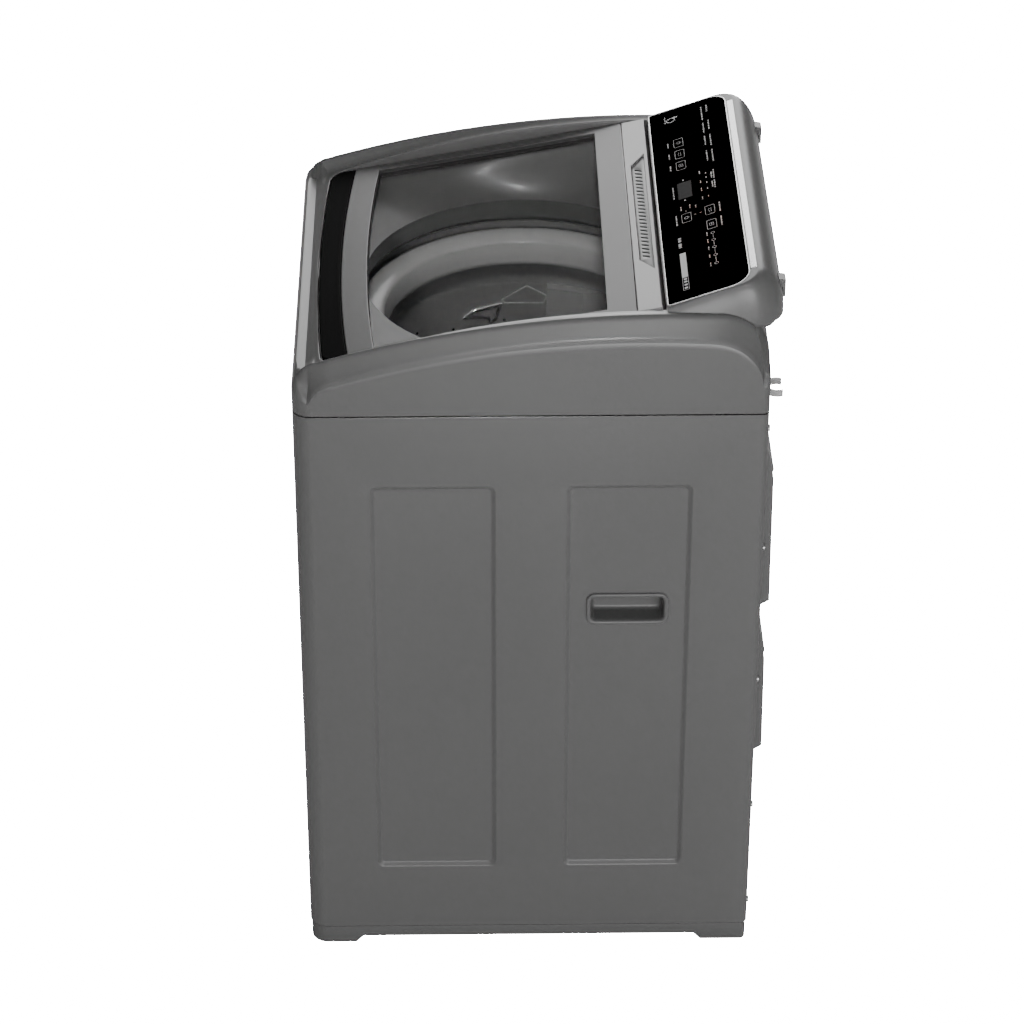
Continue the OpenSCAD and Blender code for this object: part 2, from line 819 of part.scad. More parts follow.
// Round wire wound round the Z axis
module coil(mean_r, wire_r, turns, height) {
    per_turn = 12;
    sides = 5;
    steps = turns * per_turn;
    rise = (height - 2 * wire_r) / steps;
    points = [for (i = [0:steps], j = [0:sides - 1])
        let (a = 360 * i / per_turn, b = 360 * j / sides, r = mean_r + wire_r * cos(b))
        [r * cos(a), r * sin(a), wire_r + rise * i + wire_r * sin(b)]];
    skin = [for (i = [0:steps - 1], j = [0:sides - 1])
        let (a = i * sides + j, b = i * sides + (j + 1) % sides)
            each [[a, b, b + sides], [a, b + sides, a + sides]]];
    ends = [[for (j = [sides - 1:-1:0]) j], [for (j = [0:sides - 1]) steps * sides + j]];
    polyhedron(points, concat(skin, ends), convexity = 8);
}

module suspension_springs() {
    color("silver") for (sx = [-1, 1], sy = [-1, 1])
        translate([sx * rod_x, tub_y + sy * rod_y, seat_z + gap])
            coil(13, 2, 5, lug_z - seat_z - 2 * gap);
}

// ---- Tub ----

module outer_tub() {
    outer = tub_r + tub_wall;
    lug_angle = atan2(rod_y, rod_x);
    lug_reach = norm([rod_x, rod_y]);
    color("whitesmoke") difference() {
        union() {
            turned() difference() {
                polygon([[0, tub_floor], [outer - 12, tub_floor], [outer, tub_floor + 12],
                         [outer, tub_rim], [0, tub_rim]]);
                polygon([[-1, tub_floor + 6], [tub_r - 8, tub_floor + 6], [tub_r, tub_floor + 14],
                         [tub_r, tub_rim + 1], [-1, tub_rim + 1]]);
            }
            tub_ring(46, bearing_r, tub_floor - 14, tub_floor + 12);
            for (sx = [-1, 1], sy = [-1, 1]) translate([0, tub_y, lug_z])
                rotate([0, 0, atan2(sy * rod_y, sx * rod_x)]) {
                    translate([outer - 1, -14, 0]) cube([lug_reach - outer + 1, 28, 12]);
                    translate([outer - 1, -3, -50]) cube([40, 6, 51]);
                    translate([lug_reach, 0, 0]) cylinder(r = 20, h = 12);
                }
        }
        translate([0, tub_y, tub_floor - 20]) cylinder(r = bearing_r, h = 40);
        for (sx = [-1, 1], sy = [-1, 1])
            post([sx * rod_x, tub_y + sy * rod_y], rod_r + 0.5, lug_z - 5, lug_z + 20);
        translate([0, tub_y + 120, tub_floor - 5]) cylinder(r = 16, h = 20);
    }
}

module tub_top_ring() {
    outer = tub_r + tub_wall;
    color("whitesmoke") turned()
        polygon([[outer + gap, tub_rim - 8], [outer + 3, tub_rim - 8], [outer + 3, tub_rim + 6],
                 [212, tub_rim + 24], [209, tub_rim + 31], [207, tub_rim + 30],
                 [210, tub_rim + 21], [outer - 6, tub_rim + gap], [outer + gap, tub_rim + gap]]);
}

module upper_bearing() {
    color("silver") tub_ring(bearing_r, tube_r + fit, tub_floor - 13, tub_floor + 3);
}

module lower_bearing() {
    color("silver") tub_ring(lower_bearing_r, tube_r + fit, gearcase_z + 8, gearcase_z + 20);
}

module shaft_seal() {
    color("black") tub_ring(bearing_r, tube_r + fit, tub_floor + 3.5, tub_floor + 11);
}

// Case under the tub that holds the clutch and the lower bearing
module gearcase_housing() {
    case_r = 64;
    color("silver") turned() difference() {
        polygon([[tube_r + 2, gearcase_z], [case_r - 10, gearcase_z], [case_r, gearcase_z + 10],
                 [case_r, tub_floor - 5], [case_r + 16, tub_floor - 5], [case_r + 16, tub_floor - eps],
                 [50, tub_floor - eps], [50, tub_floor - 5], [case_r - 4, tub_floor - 9],
                 [case_r - 4, gearcase_z + 12], [case_r - 12, gearcase_z + 4],
                 [lower_bearing_r + 6, gearcase_z + 4], [lower_bearing_r + 6, gearcase_z + 20],
                 [lower_bearing_r, gearcase_z + 20], [lower_bearing_r, gearcase_z + 8],
                 [tube_r + 2, gearcase_z + 8]]);
    }
}

// Direction from the tub's axis to the motor, and the way across
motor_angle = atan2(motor_at.y - tub_y, motor_at.x);
motor_reach = norm([motor_at.x, motor_at.y - tub_y]);

module motor_bracket() {
    color("silver") difference() {
        union() {
            translate([0, tub_y, motor_top]) rotate([0, 0, motor_angle])
                translate([86, -55, 0]) cube([142, 110, 4]);
            for (d = [100, 214], s = [-1, 1]) translate([0, tub_y, motor_top + 4 - eps])
                rotate([0, 0, motor_angle]) translate([d, s * 46, 0])
                    cylinder(r = 7, h = tub_floor - motor_top - 4);
        }
        post(motor_at, 14, motor_top - 5, motor_top + 10);
    }
}

module motor_housing() {
    low = gearcase_z;
    color("silver") difference() {
        post(motor_at, motor_r, low, motor_top);
        post(motor_at, motor_r - 4, low + 4, motor_top - 4);
        post(motor_at, 6 + fit, low - 1, motor_top + 1);
        for (a = [0:30:330]) translate([motor_at.x, motor_at.y, motor_top - 40])
            rotate([0, 0, a]) translate([motor_r - 2, 0, 0]) cube([10, 12, 40], center = true);
    }
}

// Loop round both pulleys at a distance g from the bottoms of their grooves
module belt_2d(g) {
    hull() {
        translate([0, tub_y]) circle(big_groove_r + g, $fn = 128);
        translate(motor_at) circle(small_groove_r + g, $fn = 64);
    }
}

module drive_belt() {
    color("black") translate([0, 0, pulley_z + 2.3]) linear_extrude(pulley_h - 4.6) difference() {
        belt_2d(5.5);
        belt_2d(0.2);
    }
}

module drain_valve() {
    at = [0, tub_y + 120];
    color("white") difference() {
        union() {
            post(at, 16, tub_floor - 30, tub_floor + 4);
            post(at, 22, tub_floor - 34, tub_floor - 8);
            translate([at.x, at.y, tub_floor - 22]) rotate([-90, 0, 0]) cylinder(r = 13, h = 55);
            translate([at.x - 60, at.y - 12, tub_floor - 32]) cube([60, 24, 22]);
        }
        post(at, 12, tub_floor - 22, tub_floor + 5);
        translate([at.x, at.y, tub_floor - 22]) rotate([-90, 0, 0]) cylinder(r = 10, h = 60);
    }
}

// ---- Basket ----

module basket_drum() {
    wall = 1.2;
    color("silver") turned()
        polygon([[basket_r, basket_floor + 6], [basket_r, basket_rim], [basket_r - 8, basket_rim],
                 [basket_r - 8, basket_rim - wall], [basket_r - wall, basket_rim - wall],
                 [basket_r - wall, basket_floor + 6]]);
}

// Hollow ring, part filled with salt water, that steadies the basket
module balance_ring() {
    outer = basket_r + 2;
    color("gainsboro") turned() difference() {
        polygon([[ring_inner_r, basket_rim + eps], [outer - 4, basket_rim + eps], [outer, basket_rim + 5],
                 [outer, ring_top - 9], [outer - 9, ring_top], [ring_inner_r + 14, ring_top],
                 [ring_inner_r + 6, ring_top - 5]]);
        polygon([[ring_inner_r + 4, basket_rim + 4], [outer - 4, basket_rim + 6],
                 [outer - 4, ring_top - 10], [outer - 10, ring_top - 4],
                 [ring_inner_r + 15, ring_top - 4], [ring_inner_r + 10, ring_top - 8]]);
    }
}

module basket_hub() {
    z = basket_floor;
    color("gainsboro") difference() {
        union() {
            turned() polygon([[tube_r, z - 12], [34, z - 12], [46, z], [basket_r - 8, z],
                              [basket_r - 1.2, z + 6], [basket_r - 1.2, z + 22], [basket_r - 4, z + 22],
                              [basket_r - 8, z + 12], [182, z + 12], [180, z + 8], [tube_r, z + 8]]);
            for (a = [0:45:315]) translate([0, tub_y, z - 8]) rotate([0, 0, a])
                translate([44, -2, 0]) cube([basket_r - 60, 4, 9]);
        }
        for (a = [0:30:330]) translate([0, tub_y, z]) rotate([0, 0, a + 15])
            translate([150, 0, -10]) cylinder(r = 5, h = 40);
    }
}

module spin_tube() {
    color("silver") difference() {
        union() {
            post([0, tub_y], tube_r, gearcase_z + 4, basket_floor + 8);
            post([0, tub_y], 46, gearcase_z + 30, gearcase_z + 62);
        }
        post([0, tub_y], shaft_r + fit, 0, 400);
        difference() {
            post([0, tub_y], 42, gearcase_z + 26, gearcase_z + 56);
            post([0, tub_y], tube_r, 0, 400);
        }
    }
}

// Lint trap against the basket wall, opposite the right-hand side
module lint_filter() {
    in_r = basket_r - 1.2;
    color("lightgray") intersection() {
        translate([0, tub_y, 0]) difference() {
            translate([0, 0, 560]) cylinder(r = in_r - 0.2, h = 130);
            translate([0, 0, 559]) cylinder(r = in_r - 14, h = 132);
        }
        translate([-230, 20, 560]) cube([60, 84, 130]);
    }
}

// ---- Pulsator and drive ----

module impeller() {
    z = basket_floor + 10;
    vane_w = 18;
    color("whitesmoke") difference() {
        union() {
            turned() polygon([[0, z + 1], [impeller_r - 6, z + 1], [impeller_r, z + 6], [impeller_r - 4, z + 11],
                              [90, z + 15], [40, z + 30], [0, z + 34]]);
            translate([0, tub_y, z + 9]) linear_extrude(17) for (a = [0:60:300]) rotate(a) {
                translate([30, -vane_w / 2]) square([122, vane_w]);
                translate([152, 0]) circle(vane_w / 2);
            }
        }
        turned() polygon([[0, z + 35], [20, z + 35], [18, z + 28], [0, z + 28]]);
        turned() polygon([[24, z], [170, z], [165, z + 6], [90, z + 10], [36, z + 22], [24, z + 22]]);
        post([0, tub_y], shaft_r, z - 20, z + 60);
    }
}

module impeller_cap() {
    z = basket_floor + 38.2;
    color("gray") turned() polygon([[0, z], [17, z], [17, z + 5], [12, z + 8], [0, z + 9]]);
}

module drive_shaft() {
    color("silver") post([0, tub_y], shaft_r, pulley_z - 4, basket_floor + 38);
}

// Grooved pulley standing on pulley_z at a place in plan
module pulley(at, groove_r, bore_r) {
    rim = groove_r + 6;
    z = pulley_z;
    translate([at.x, at.y, 0]) rotate_extrude($fn = 128)
        polygon([[bore_r, z], [rim, z], [rim, z + 1.4], [groove_r + 5.9, z + 1.9], [groove_r, z + 2],
                 [groove_r, z + pulley_h - 2], [groove_r + 5.9, z + pulley_h - 1.9],
                 [rim, z + pulley_h - 1.4], [rim, z + pulley_h], [bore_r, z + pulley_h]]);
}

module drive_pulley() {
    color("gray") difference() {
        pulley([0, tub_y], big_groove_r, shaft_r);
        for (a = [0:60:300]) translate([0, tub_y, 0]) rotate([0, 0, a]) translate([42, 0, 70])
            cylinder(r = 14, h = 40);
    }
}

module motor_shaft() {
    color("silver") {
        post(motor_at, 6, pulley_z - 4, motor_top + 2);
        post(motor_at, 40, gearcase_z + 20, motor_top - 24);
    }
}

module motor_pulley() {
    color("gray") pulley(motor_at, small_groove_r, 6);
}

// ---- Nodes ----

cabinet_wrap();
rear_panel();
base_frame();
corner_brackets();
side_handle_left();
side_handle_right();
top_deck();
console_housing();
control_panel();
panel_trim();
display_window();
hose_hooks();
hose_clip();
inlet_valve();
water_inlet_box();
drain_outlet();
cable_gland();
control_board();
pressure_switch();
lid_switch();
hinge_pins();
suspension_rods();
suspension_springs();
cabinet_screws();
rear_feet();
foot_front_left();
foot_front_right();
lid_frame();
lid_window();
lid_handle();
lid_rear_plate();
vent_grille();
key_1();
key_2();
key_3();
key_4();
key_5();
key_6();
outer_tub();
tub_top_ring();
upper_bearing();
lower_bearing();
shaft_seal();
gearcase_housing();
motor_bracket();
motor_housing();
drive_belt();
drain_valve();
basket_drum();
balance_ring();
basket_hub();
spin_tube();
lint_filter();
impeller();
impeller_cap();
drive_shaft();
drive_pulley();
motor_shaft();
motor_pulley();
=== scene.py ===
import math

import bmesh
import bpy
from mathutils import Matrix, Vector


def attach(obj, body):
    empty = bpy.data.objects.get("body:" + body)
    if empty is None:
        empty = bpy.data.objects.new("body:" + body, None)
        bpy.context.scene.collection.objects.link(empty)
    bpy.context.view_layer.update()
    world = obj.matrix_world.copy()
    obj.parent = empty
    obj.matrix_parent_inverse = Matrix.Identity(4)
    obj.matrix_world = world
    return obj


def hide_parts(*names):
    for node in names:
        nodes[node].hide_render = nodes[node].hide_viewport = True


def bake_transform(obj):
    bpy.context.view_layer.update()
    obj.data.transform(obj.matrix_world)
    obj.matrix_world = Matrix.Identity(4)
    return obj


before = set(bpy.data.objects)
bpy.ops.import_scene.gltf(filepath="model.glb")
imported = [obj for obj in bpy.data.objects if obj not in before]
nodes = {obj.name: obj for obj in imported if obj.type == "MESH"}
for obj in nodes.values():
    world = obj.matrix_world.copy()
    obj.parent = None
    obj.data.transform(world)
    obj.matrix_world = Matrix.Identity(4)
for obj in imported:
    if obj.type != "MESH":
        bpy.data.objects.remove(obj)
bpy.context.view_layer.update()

# Lengths in the dictionaries are millimetres; meshes are scaled to metres when they are made.
toMetres = 0.001


# Helpers for outlines

def arcPoints(cx, cy, radius, start, end, count):
    points = []
    for step in range(count + 1):
        angle = math.radians(start + (end - start) * step / count)
        points.append((cx + radius * math.cos(angle), cy + radius * math.sin(angle)))
    return points


def roundedRect(width, height, radius, cx=0.0, cy=0.0, count=6):
    radii = radius if isinstance(radius, tuple) else (radius,) * 4
    corners = ((1, 1, 0), (-1, 1, 90), (-1, -1, 180), (1, -1, 270))
    points = []
    for (sx, sy, start), r in zip(corners, radii):
        x = cx + sx * (width / 2 - r)
        y = cy + sy * (height / 2 - r)
        points += arcPoints(x, y, r, start, start + 90, count)
    return points


def inset(points, distance):
    if abs(distance) < 1e-9:
        return list(points)
    area = sum(a[0] * b[1] - b[0] * a[1] for a, b in zip(points, points[1:] + points[:1]))
    turn = 1 if area > 0 else -1
    moved = []
    for index, point in enumerate(points):
        before = points[index - 1]
        after = points[(index + 1) % len(points)]
        first = Vector((point[0] - before[0], point[1] - before[1]))
        second = Vector((after[0] - point[0], after[1] - point[1]))
        if first.length < 1e-6:
            first = second
        if second.length < 1e-6:
            second = first
        first.normalize()
        second.normalize()
        middle = first + second
        if middle.length < 1e-6:
            middle = first
        middle.normalize()
        normal = Vector((-middle.y, middle.x)) * turn
        share = max(normal.dot(Vector((-first.y, first.x)) * turn), 0.35)
        moved.append((point[0] + normal.x * distance / share, point[1] + normal.y * distance / share))
    return moved


def alongRay(outline, centre, angle):
    direction = (math.cos(angle), math.sin(angle))
    best = None
    for a, b in zip(outline, outline[1:] + outline[:1]):
        ax, ay = a[0] - centre[0], a[1] - centre[1]
        bx, by = b[0] - centre[0], b[1] - centre[1]
        sideA = direction[0] * ay - direction[1] * ax
        sideB = direction[0] * by - direction[1] * bx
        if sideA * sideB > 0 or sideA == sideB:
            continue
        share = sideA / (sideA - sideB)
        reach = (ax + (bx - ax) * share) * direction[0] + (ay + (by - ay) * share) * direction[1]
        if reach > 0 and (best is None or reach > best):
            best = reach
    return (centre[0] + direction[0] * best, centre[1] + direction[1] * best)


def mix(a, b, share):
    return a + (b - a) * share


def smoothShare(share):
    share = min(max(share, 0.0), 1.0)
    return share * share * (3 - 2 * share)


# Helpers for meshes

def ringOf(bm, places):
    made = bmesh.ops.create_circle(bm, cap_ends=False, radius=1.0, segments=len(places))["verts"]
    for vert, place in zip(made, places):
        vert.co = place
    return made


def lineOf(bm, places):
    chain = [bmesh.ops.create_vert(bm, co=places[0])["vert"][0]]
    for place in places[1:]:
        fresh = bmesh.ops.extrude_vert_indiv(bm, verts=[chain[-1]])["verts"][0]
        fresh.co = place
        chain.append(fresh)
    return chain


def edgesOf(chain, closed=True):
    pairs = list(zip(chain, chain[1:]))
    if closed:
        pairs.append((chain[-1], chain[0]))
    return [edge for a, b in pairs for edge in a.link_edges if edge.other_vert(a) == b]


def pull(bm, chain, places, closed=True):
    made = bmesh.ops.extrude_edge_only(bm, edges=edgesOf(chain, closed))["geom"]
    old = set(chain)
    owner = {}
    for vert in (item for item in made if isinstance(item, bmesh.types.BMVert)):
        for edge in vert.link_edges:
            if edge.other_vert(vert) in old:
                owner[edge.other_vert(vert)] = vert
    fresh = [owner[vert] for vert in chain]
    for vert, place in zip(fresh, places):
        vert.co = place
    return fresh


def skin(bm, rows, closed=True):
    chain = ringOf(bm, rows[0]) if closed else lineOf(bm, rows[0])
    chains = [chain]
    for places in rows[1:]:
        chain = pull(bm, chain, places, closed)
        chains.append(chain)
    return chains


def capOf(bm, chain):
    bmesh.ops.contextual_create(bm, geom=edgesOf(chain))


def fillFlat(bm, chains, normal):
    edges = [edge for chain in chains for edge in edgesOf(chain)]
    bmesh.ops.triangle_fill(bm, use_beauty=True, use_dissolve=False, edges=edges, normal=normal)


def plate(bm, place, outer, holes, low, high, edge, lowEdge=0.0, steps=3, support=0.4):
    tops = []
    feet = []
    for points, way in [(outer, 1)] + [(hole, -1) for hole in holes]:
        rows = []
        if lowEdge:
            rows.append((inset(points, way * lowEdge), low))
            rows.append((points, low + lowEdge))
        else:
            rows.append((points, low))
        for step in range(steps + 1):
            angle = math.radians(90 * step / steps)
            drawn = inset(points, way * edge * (1 - math.cos(angle)))
            rows.append((drawn, high - edge * (1 - math.sin(angle))))
        if support:
            rows.append((inset(points, way * (edge + support)), high))
        chains = skin(bm, [[place(x, y, z) for x, y in drawn] for drawn, z in rows])
        feet.append(chains[0])
        tops.append(chains[-1])
    normal = (place(0, 0, 1) - place(0, 0, 0)).normalized()
    fillFlat(bm, tops, normal)
    fillFlat(bm, feet, -normal)


def turned(bm, profile, centre, steps=128):
    chain = lineOf(bm, [Vector((centre[0] + r, centre[1], z)) for r, z in profile])
    geom = chain + edgesOf(chain, closed=False)
    bmesh.ops.spin(bm, geom=geom, cent=(centre[0], centre[1], 0), axis=(0, 0, 1), angle=math.tau,
                   steps=steps, use_merge=True)
    bmesh.ops.remove_doubles(bm, verts=bm.verts, dist=0.001)


def addPiece(name, bm, body, material, replaced=(), sharp=33.0, outward=None):
    bmesh.ops.remove_doubles(bm, verts=bm.verts, dist=0.0005)
    bmesh.ops.recalc_face_normals(bm, faces=bm.faces)
    if outward is not None:
        direction = Vector(outward)
        far = max(bm.faces, key=lambda face: face.calc_center_median().dot(direction))
        if far.normal.dot(direction) < 0:
            bmesh.ops.reverse_faces(bm, faces=bm.faces)
    bmesh.ops.scale(bm, vec=(toMetres, toMetres, toMetres), verts=bm.verts)
    limit = math.radians(sharp)
    for face in bm.faces:
        face.smooth = True
    for edge in bm.edges:
        edge.smooth = len(edge.link_faces) == 2 and edge.calc_face_angle() < limit
    mesh = bpy.data.meshes.new(name)
    bm.to_mesh(mesh)
    bm.free()
    mesh.materials.append(material)
    piece = bpy.data.objects.new(name, mesh)
    bpy.context.scene.collection.objects.link(piece)
    if body is not None:
        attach(piece, body)
    if replaced:
        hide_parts(*replaced)
    return piece


def thicken(piece, thickness, offset=-1.0):
    solid = piece.modifiers.new("thickness", "SOLIDIFY")
    solid.thickness = thickness * toMetres
    solid.offset = offset
    return piece


# Shared shader groups

def makeGroup(name, inputs, outputs):
    group = bpy.data.node_groups.new(name, "ShaderNodeTree")
    for label, kind, value in inputs:
        socket = group.interface.new_socket(name=label, in_out="INPUT", socket_type=kind)
        socket.default_value = value
    for label, kind in outputs:
        group.interface.new_socket(name=label, in_out="OUTPUT", socket_type=kind)
    return group, group.nodes.new("NodeGroupInput"), group.nodes.new("NodeGroupOutput")


def mathNode(tree, operation, first, second):
    node = tree.nodes.new("ShaderNodeMath")
    node.operation = operation
    for index, value in enumerate((first, second)):
        if isinstance(value, (int, float)):
            node.inputs[index].default_value = value
        else:
            tree.links.new(value, node.inputs[index])
    return node.outputs[0]


def noiseNode(tree, vector, scale, detail):
    node = tree.nodes.new("ShaderNodeTexNoise")
    node.inputs["Detail"].default_value = detail
    tree.links.new(vector, node.inputs["Vector"])
    if isinstance(scale, (int, float)):
        node.inputs["Scale"].default_value = scale
    else:
        tree.links.new(scale, node.inputs["Scale"])
    return node.outputs["Fac"]


def mixColour(tree, share, first, second, blend="MIX"):
    node = tree.nodes.new("ShaderNodeMix")
    node.data_type = "RGBA"
    node.blend_type = blend
    for label, value in (("Factor", share), ("A", first), ("B", second)):
        target = [socket for socket in node.inputs if socket.name == label and socket.enabled][0]
        if isinstance(value, (int, float, tuple)):
            target.default_value = value
        else:
            tree.links.new(value, target)
    return [s for s in node.outputs if s.enabled][0]


# Slow cloudiness and fine grain over a colour, with a matching roughness and bump height
mouldGroup, mouldIn, mouldOut = makeGroup(
    "mouldedGrain",
    [("Colour", "NodeSocketColor", (0.5, 0.5, 0.5, 1)), ("Scale", "NodeSocketFloat", 900.0),
     ("Amount", "NodeSocketFloat", 0.05), ("Roughness", "NodeSocketFloat", 0.4)],
    [("Colour", "NodeSocketColor"), ("Roughness", "NodeSocketFloat"), ("Height", "NodeSocketFloat")])
place = mouldGroup.nodes.new("ShaderNodeTexCoord").outputs["Object"]
fine = noiseNode(mouldGroup, place, mouldIn.outputs["Scale"], 2.0)
cloud = noiseNode(mouldGroup, place, 3.5, 1.0)
both = mathNode(mouldGroup, "ADD", mathNode(mouldGroup, "MULTIPLY", fine, 0.5), cloud)
centred = mathNode(mouldGroup, "SUBTRACT", both, 0.75)
spread = mathNode(mouldGroup, "MULTIPLY", centred, mouldIn.outputs["Amount"])
factor = mathNode(mouldGroup, "ADD", spread, 1.0)
tinted = mouldGroup.nodes.new("ShaderNodeVectorMath")
tinted.operation = "SCALE"
mouldGroup.links.new(mouldIn.outputs["Colour"], tinted.inputs[0])
mouldGroup.links.new(factor, tinted.inputs["Scale"])
mouldGroup.links.new(tinted.outputs["Vector"], mouldOut.inputs["Colour"])
mouldGroup.links.new(mathNode(mouldGroup, "ADD", mouldIn.outputs["Roughness"], spread),
                     mouldOut.inputs["Roughness"])
mouldGroup.links.new(fine, mouldOut.inputs["Height"])

# Fine parallel lines as left by brushing or turning
brushGroup, brushIn, brushOut = makeGroup(
    "brushedLines",
    [("Colour", "NodeSocketColor", (0.5, 0.5, 0.5, 1)), ("Stretch", "NodeSocketVector", (1.0, 1.0, 1.0)),
     ("Amount", "NodeSocketFloat", 0.2), ("Roughness", "NodeSocketFloat", 0.3)],
    [("Colour", "NodeSocketColor"), ("Roughness", "NodeSocketFloat"), ("Height", "NodeSocketFloat")])
stretched = brushGroup.nodes.new("ShaderNodeVectorMath")
stretched.operation = "MULTIPLY"
brushGroup.links.new(brushGroup.nodes.new("ShaderNodeTexCoord").outputs["Object"], stretched.inputs[0])
brushGroup.links.new(brushIn.outputs["Stretch"], stretched.inputs[1])
lines = noiseNode(brushGroup, stretched.outputs["Vector"], 60.0, 3.0)
centred = mathNode(brushGroup, "SUBTRACT", lines, 0.5)
spread = mathNode(brushGroup, "MULTIPLY", centred, brushIn.outputs["Amount"])
tinted = brushGroup.nodes.new("ShaderNodeVectorMath")
tinted.operation = "SCALE"
brushGroup.links.new(brushIn.outputs["Colour"], tinted.inputs[0])
brushGroup.links.new(mathNode(brushGroup, "ADD", spread, 1.0), tinted.inputs["Scale"])
brushGroup.links.new(tinted.outputs["Vector"], brushOut.inputs["Colour"])
brushGroup.links.new(mathNode(brushGroup, "ADD", brushIn.outputs["Roughness"], spread),
                     brushOut.inputs["Roughness"])
brushGroup.links.new(lines, brushOut.inputs["Height"])

# Share of dust lying on what faces up
dustGroup, dustIn, dustOut = makeGroup(
    "settledDust", [("Amount", "NodeSocketFloat", 0.05)], [("Mask", "NodeSocketFloat")])
facing = dustGroup.nodes.new("ShaderNodeSeparateXYZ")
dustGroup.links.new(dustGroup.nodes.new("ShaderNodeNewGeometry").outputs["Normal"], facing.inputs[0])
patches = noiseNode(dustGroup, dustGroup.nodes.new("ShaderNodeTexCoord").outputs["Object"], 14.0, 5.0)
lying = mathNode(dustGroup, "MULTIPLY", mathNode(dustGroup, "MAXIMUM", facing.outputs["Z"], 0.0), patches)
dustGroup.links.new(mathNode(dustGroup, "MULTIPLY", lying, dustIn.outputs["Amount"]), dustOut.inputs["Mask"])


def grey(value):
    return (value, value, value, 1.0)


# colour, roughness, then optional metal, coat, grain scale and amount, bump, dust and brushing stretch
looks = {
    "cabinetPaint": {"colour": grey(0.108), "rough": 0.42, "coat": 0.1, "bump": 0.02},
    "deckPlastic": {"colour": grey(0.104), "rough": 0.36, "coat": 0.1, "bump": 0.02},
    "plinthPlastic": {"colour": grey(0.10), "rough": 0.5, "bump": 0.03},
    "lidPlastic": {"colour": grey(0.068), "rough": 0.34, "spec": 0.35, "bump": 0.02},
    "platePlastic": {"colour": grey(0.30), "rough": 0.30, "bump": 0.02},
    "panelBlack": {"colour": grey(0.0004), "rough": 0.3, "spec": 0.0, "amount": 0.2, "dust": 0.0,
                   "bump": 0.0},
    "handleBlack": {"colour": grey(0.0012), "rough": 0.5, "spec": 0.01, "amount": 0.2, "dust": 0.002},
    "displayDark": {"colour": grey(0.006), "rough": 0.3, "spec": 0.02, "amount": 0.2, "dust": 0.0},
    "printLight": {"colour": grey(0.62), "rough": 0.5},
    "silverTrim": {"colour": grey(0.55), "rough": 0.26, "metal": 0.8, "brush": (2.0, 60.0, 60.0)},
    "ringPlastic": {"colour": grey(0.80), "rough": 0.22, "coat": 0.4},
    "drumSteel": {"colour": grey(0.5), "rough": 0.34, "metal": 0.45, "brush": (1.0, 1.0, 30.0)},
    "polished": {"colour": grey(0.85), "rough": 0.08, "metal": 1.0, "brush": (8.0, 8.0, 8.0)},
    "tubPlastic": {"colour": grey(0.42), "rough": 0.45},
    "lightPlastic": {"colour": grey(0.5), "rough": 0.4},
    "clipPlastic": {"colour": grey(0.42), "rough": 0.3},
    "blackPlastic": {"colour": grey(0.012), "rough": 0.4},
    "rubber": {"colour": grey(0.02), "rough": 0.75, "dust": 0.1},
    "zincSteel": {"colour": grey(0.45), "rough": 0.35, "metal": 0.9, "brush": (20.0, 20.0, 20.0)},
    "springSteel": {"colour": grey(0.3), "rough": 0.3, "metal": 0.9, "brush": (30.0, 30.0, 5.0)},
    "castAluminium": {"colour": grey(0.5), "rough": 0.45, "metal": 0.8, "brush": (9.0, 9.0, 9.0)},
    "boardGreen": {"colour": (0.01, 0.08, 0.03, 1.0), "rough": 0.4, "amount": 0.3},
}


def buildMaterial(name, look):
    material = bpy.data.materials.new(name)
    material.use_nodes = True
    tree = material.node_tree
    shader = tree.nodes["Principled BSDF"]
    source = tree.nodes.new("ShaderNodeGroup")
    if "brush" in look:
        source.node_tree = brushGroup
        source.inputs["Stretch"].default_value = look["brush"]
        source.inputs["Amount"].default_value = look.get("amount", 0.14)
    else:
        source.node_tree = mouldGroup
        source.inputs["Scale"].default_value = look.get("scale", 900.0)
        source.inputs["Amount"].default_value = look.get("amount", 0.06)
    source.inputs["Colour"].default_value = look["colour"]
    source.inputs["Roughness"].default_value = look["rough"]
    dust = tree.nodes.new("ShaderNodeGroup")
    dust.node_tree = dustGroup
    dust.inputs["Amount"].default_value = look.get("dust", 0.03)
    dusted = mixColour(tree, dust.outputs["Mask"], source.outputs["Colour"], grey(0.45))
    tree.links.new(dusted, shader.inputs["Base Color"])
    tree.links.new(source.outputs["Roughness"], shader.inputs["Roughness"])
    shader.inputs["Specular IOR Level"].default_value = look.get("spec", 0.5)
    shader.inputs["Metallic"].default_value = look.get("metal", 0.0)
    shader.inputs["Coat Weight"].default_value = look.get("coat", 0.0)
    shader.inputs["Coat Roughness"].default_value = 0.12
    bump = tree.nodes.new("ShaderNodeBump")
    bump.inputs["Strength"].default_value = look.get("bump", 0.02)
    bump.inputs["Distance"].default_value = 0.0004
    tree.links.new(source.outputs["Height"], bump.inputs["Height"])
    tree.links.new(bump.outputs["Normal"], shader.inputs["Normal"])
    return material


materials = {name: buildMaterial(name, look) for name, look in looks.items()}

# Smoked glass: mostly clear, darker at a slant
glassLook = {"colour": grey(0.01), "rough": 0.06, "spec": 0.03, "clear": 0.04, "edge": 0.25, "dust": 0.0}
glass = buildMaterial("smokedGlass", glassLook)
glassTree = glass.node_tree
glassShader = glassTree.nodes["Principled BSDF"]
slant = glassTree.nodes.new("ShaderNodeFresnel")
slant.inputs["IOR"].default_value = 1.35
cover = mathNode(glassTree, "ADD", glassLook["clear"],
                 mathNode(glassTree, "MULTIPLY", slant.outputs[0], glassLook["edge"]))
haze = noiseNode(glassTree, glassTree.nodes.new("ShaderNodeTexCoord").outputs["Object"], 5.0, 2.0)
cover = mathNode(glassTree, "ADD", cover, mathNode(glassTree, "MULTIPLY", haze, 0.03))
glassTree.links.new(cover, glassShader.inputs["Alpha"])
print("stage: materials")

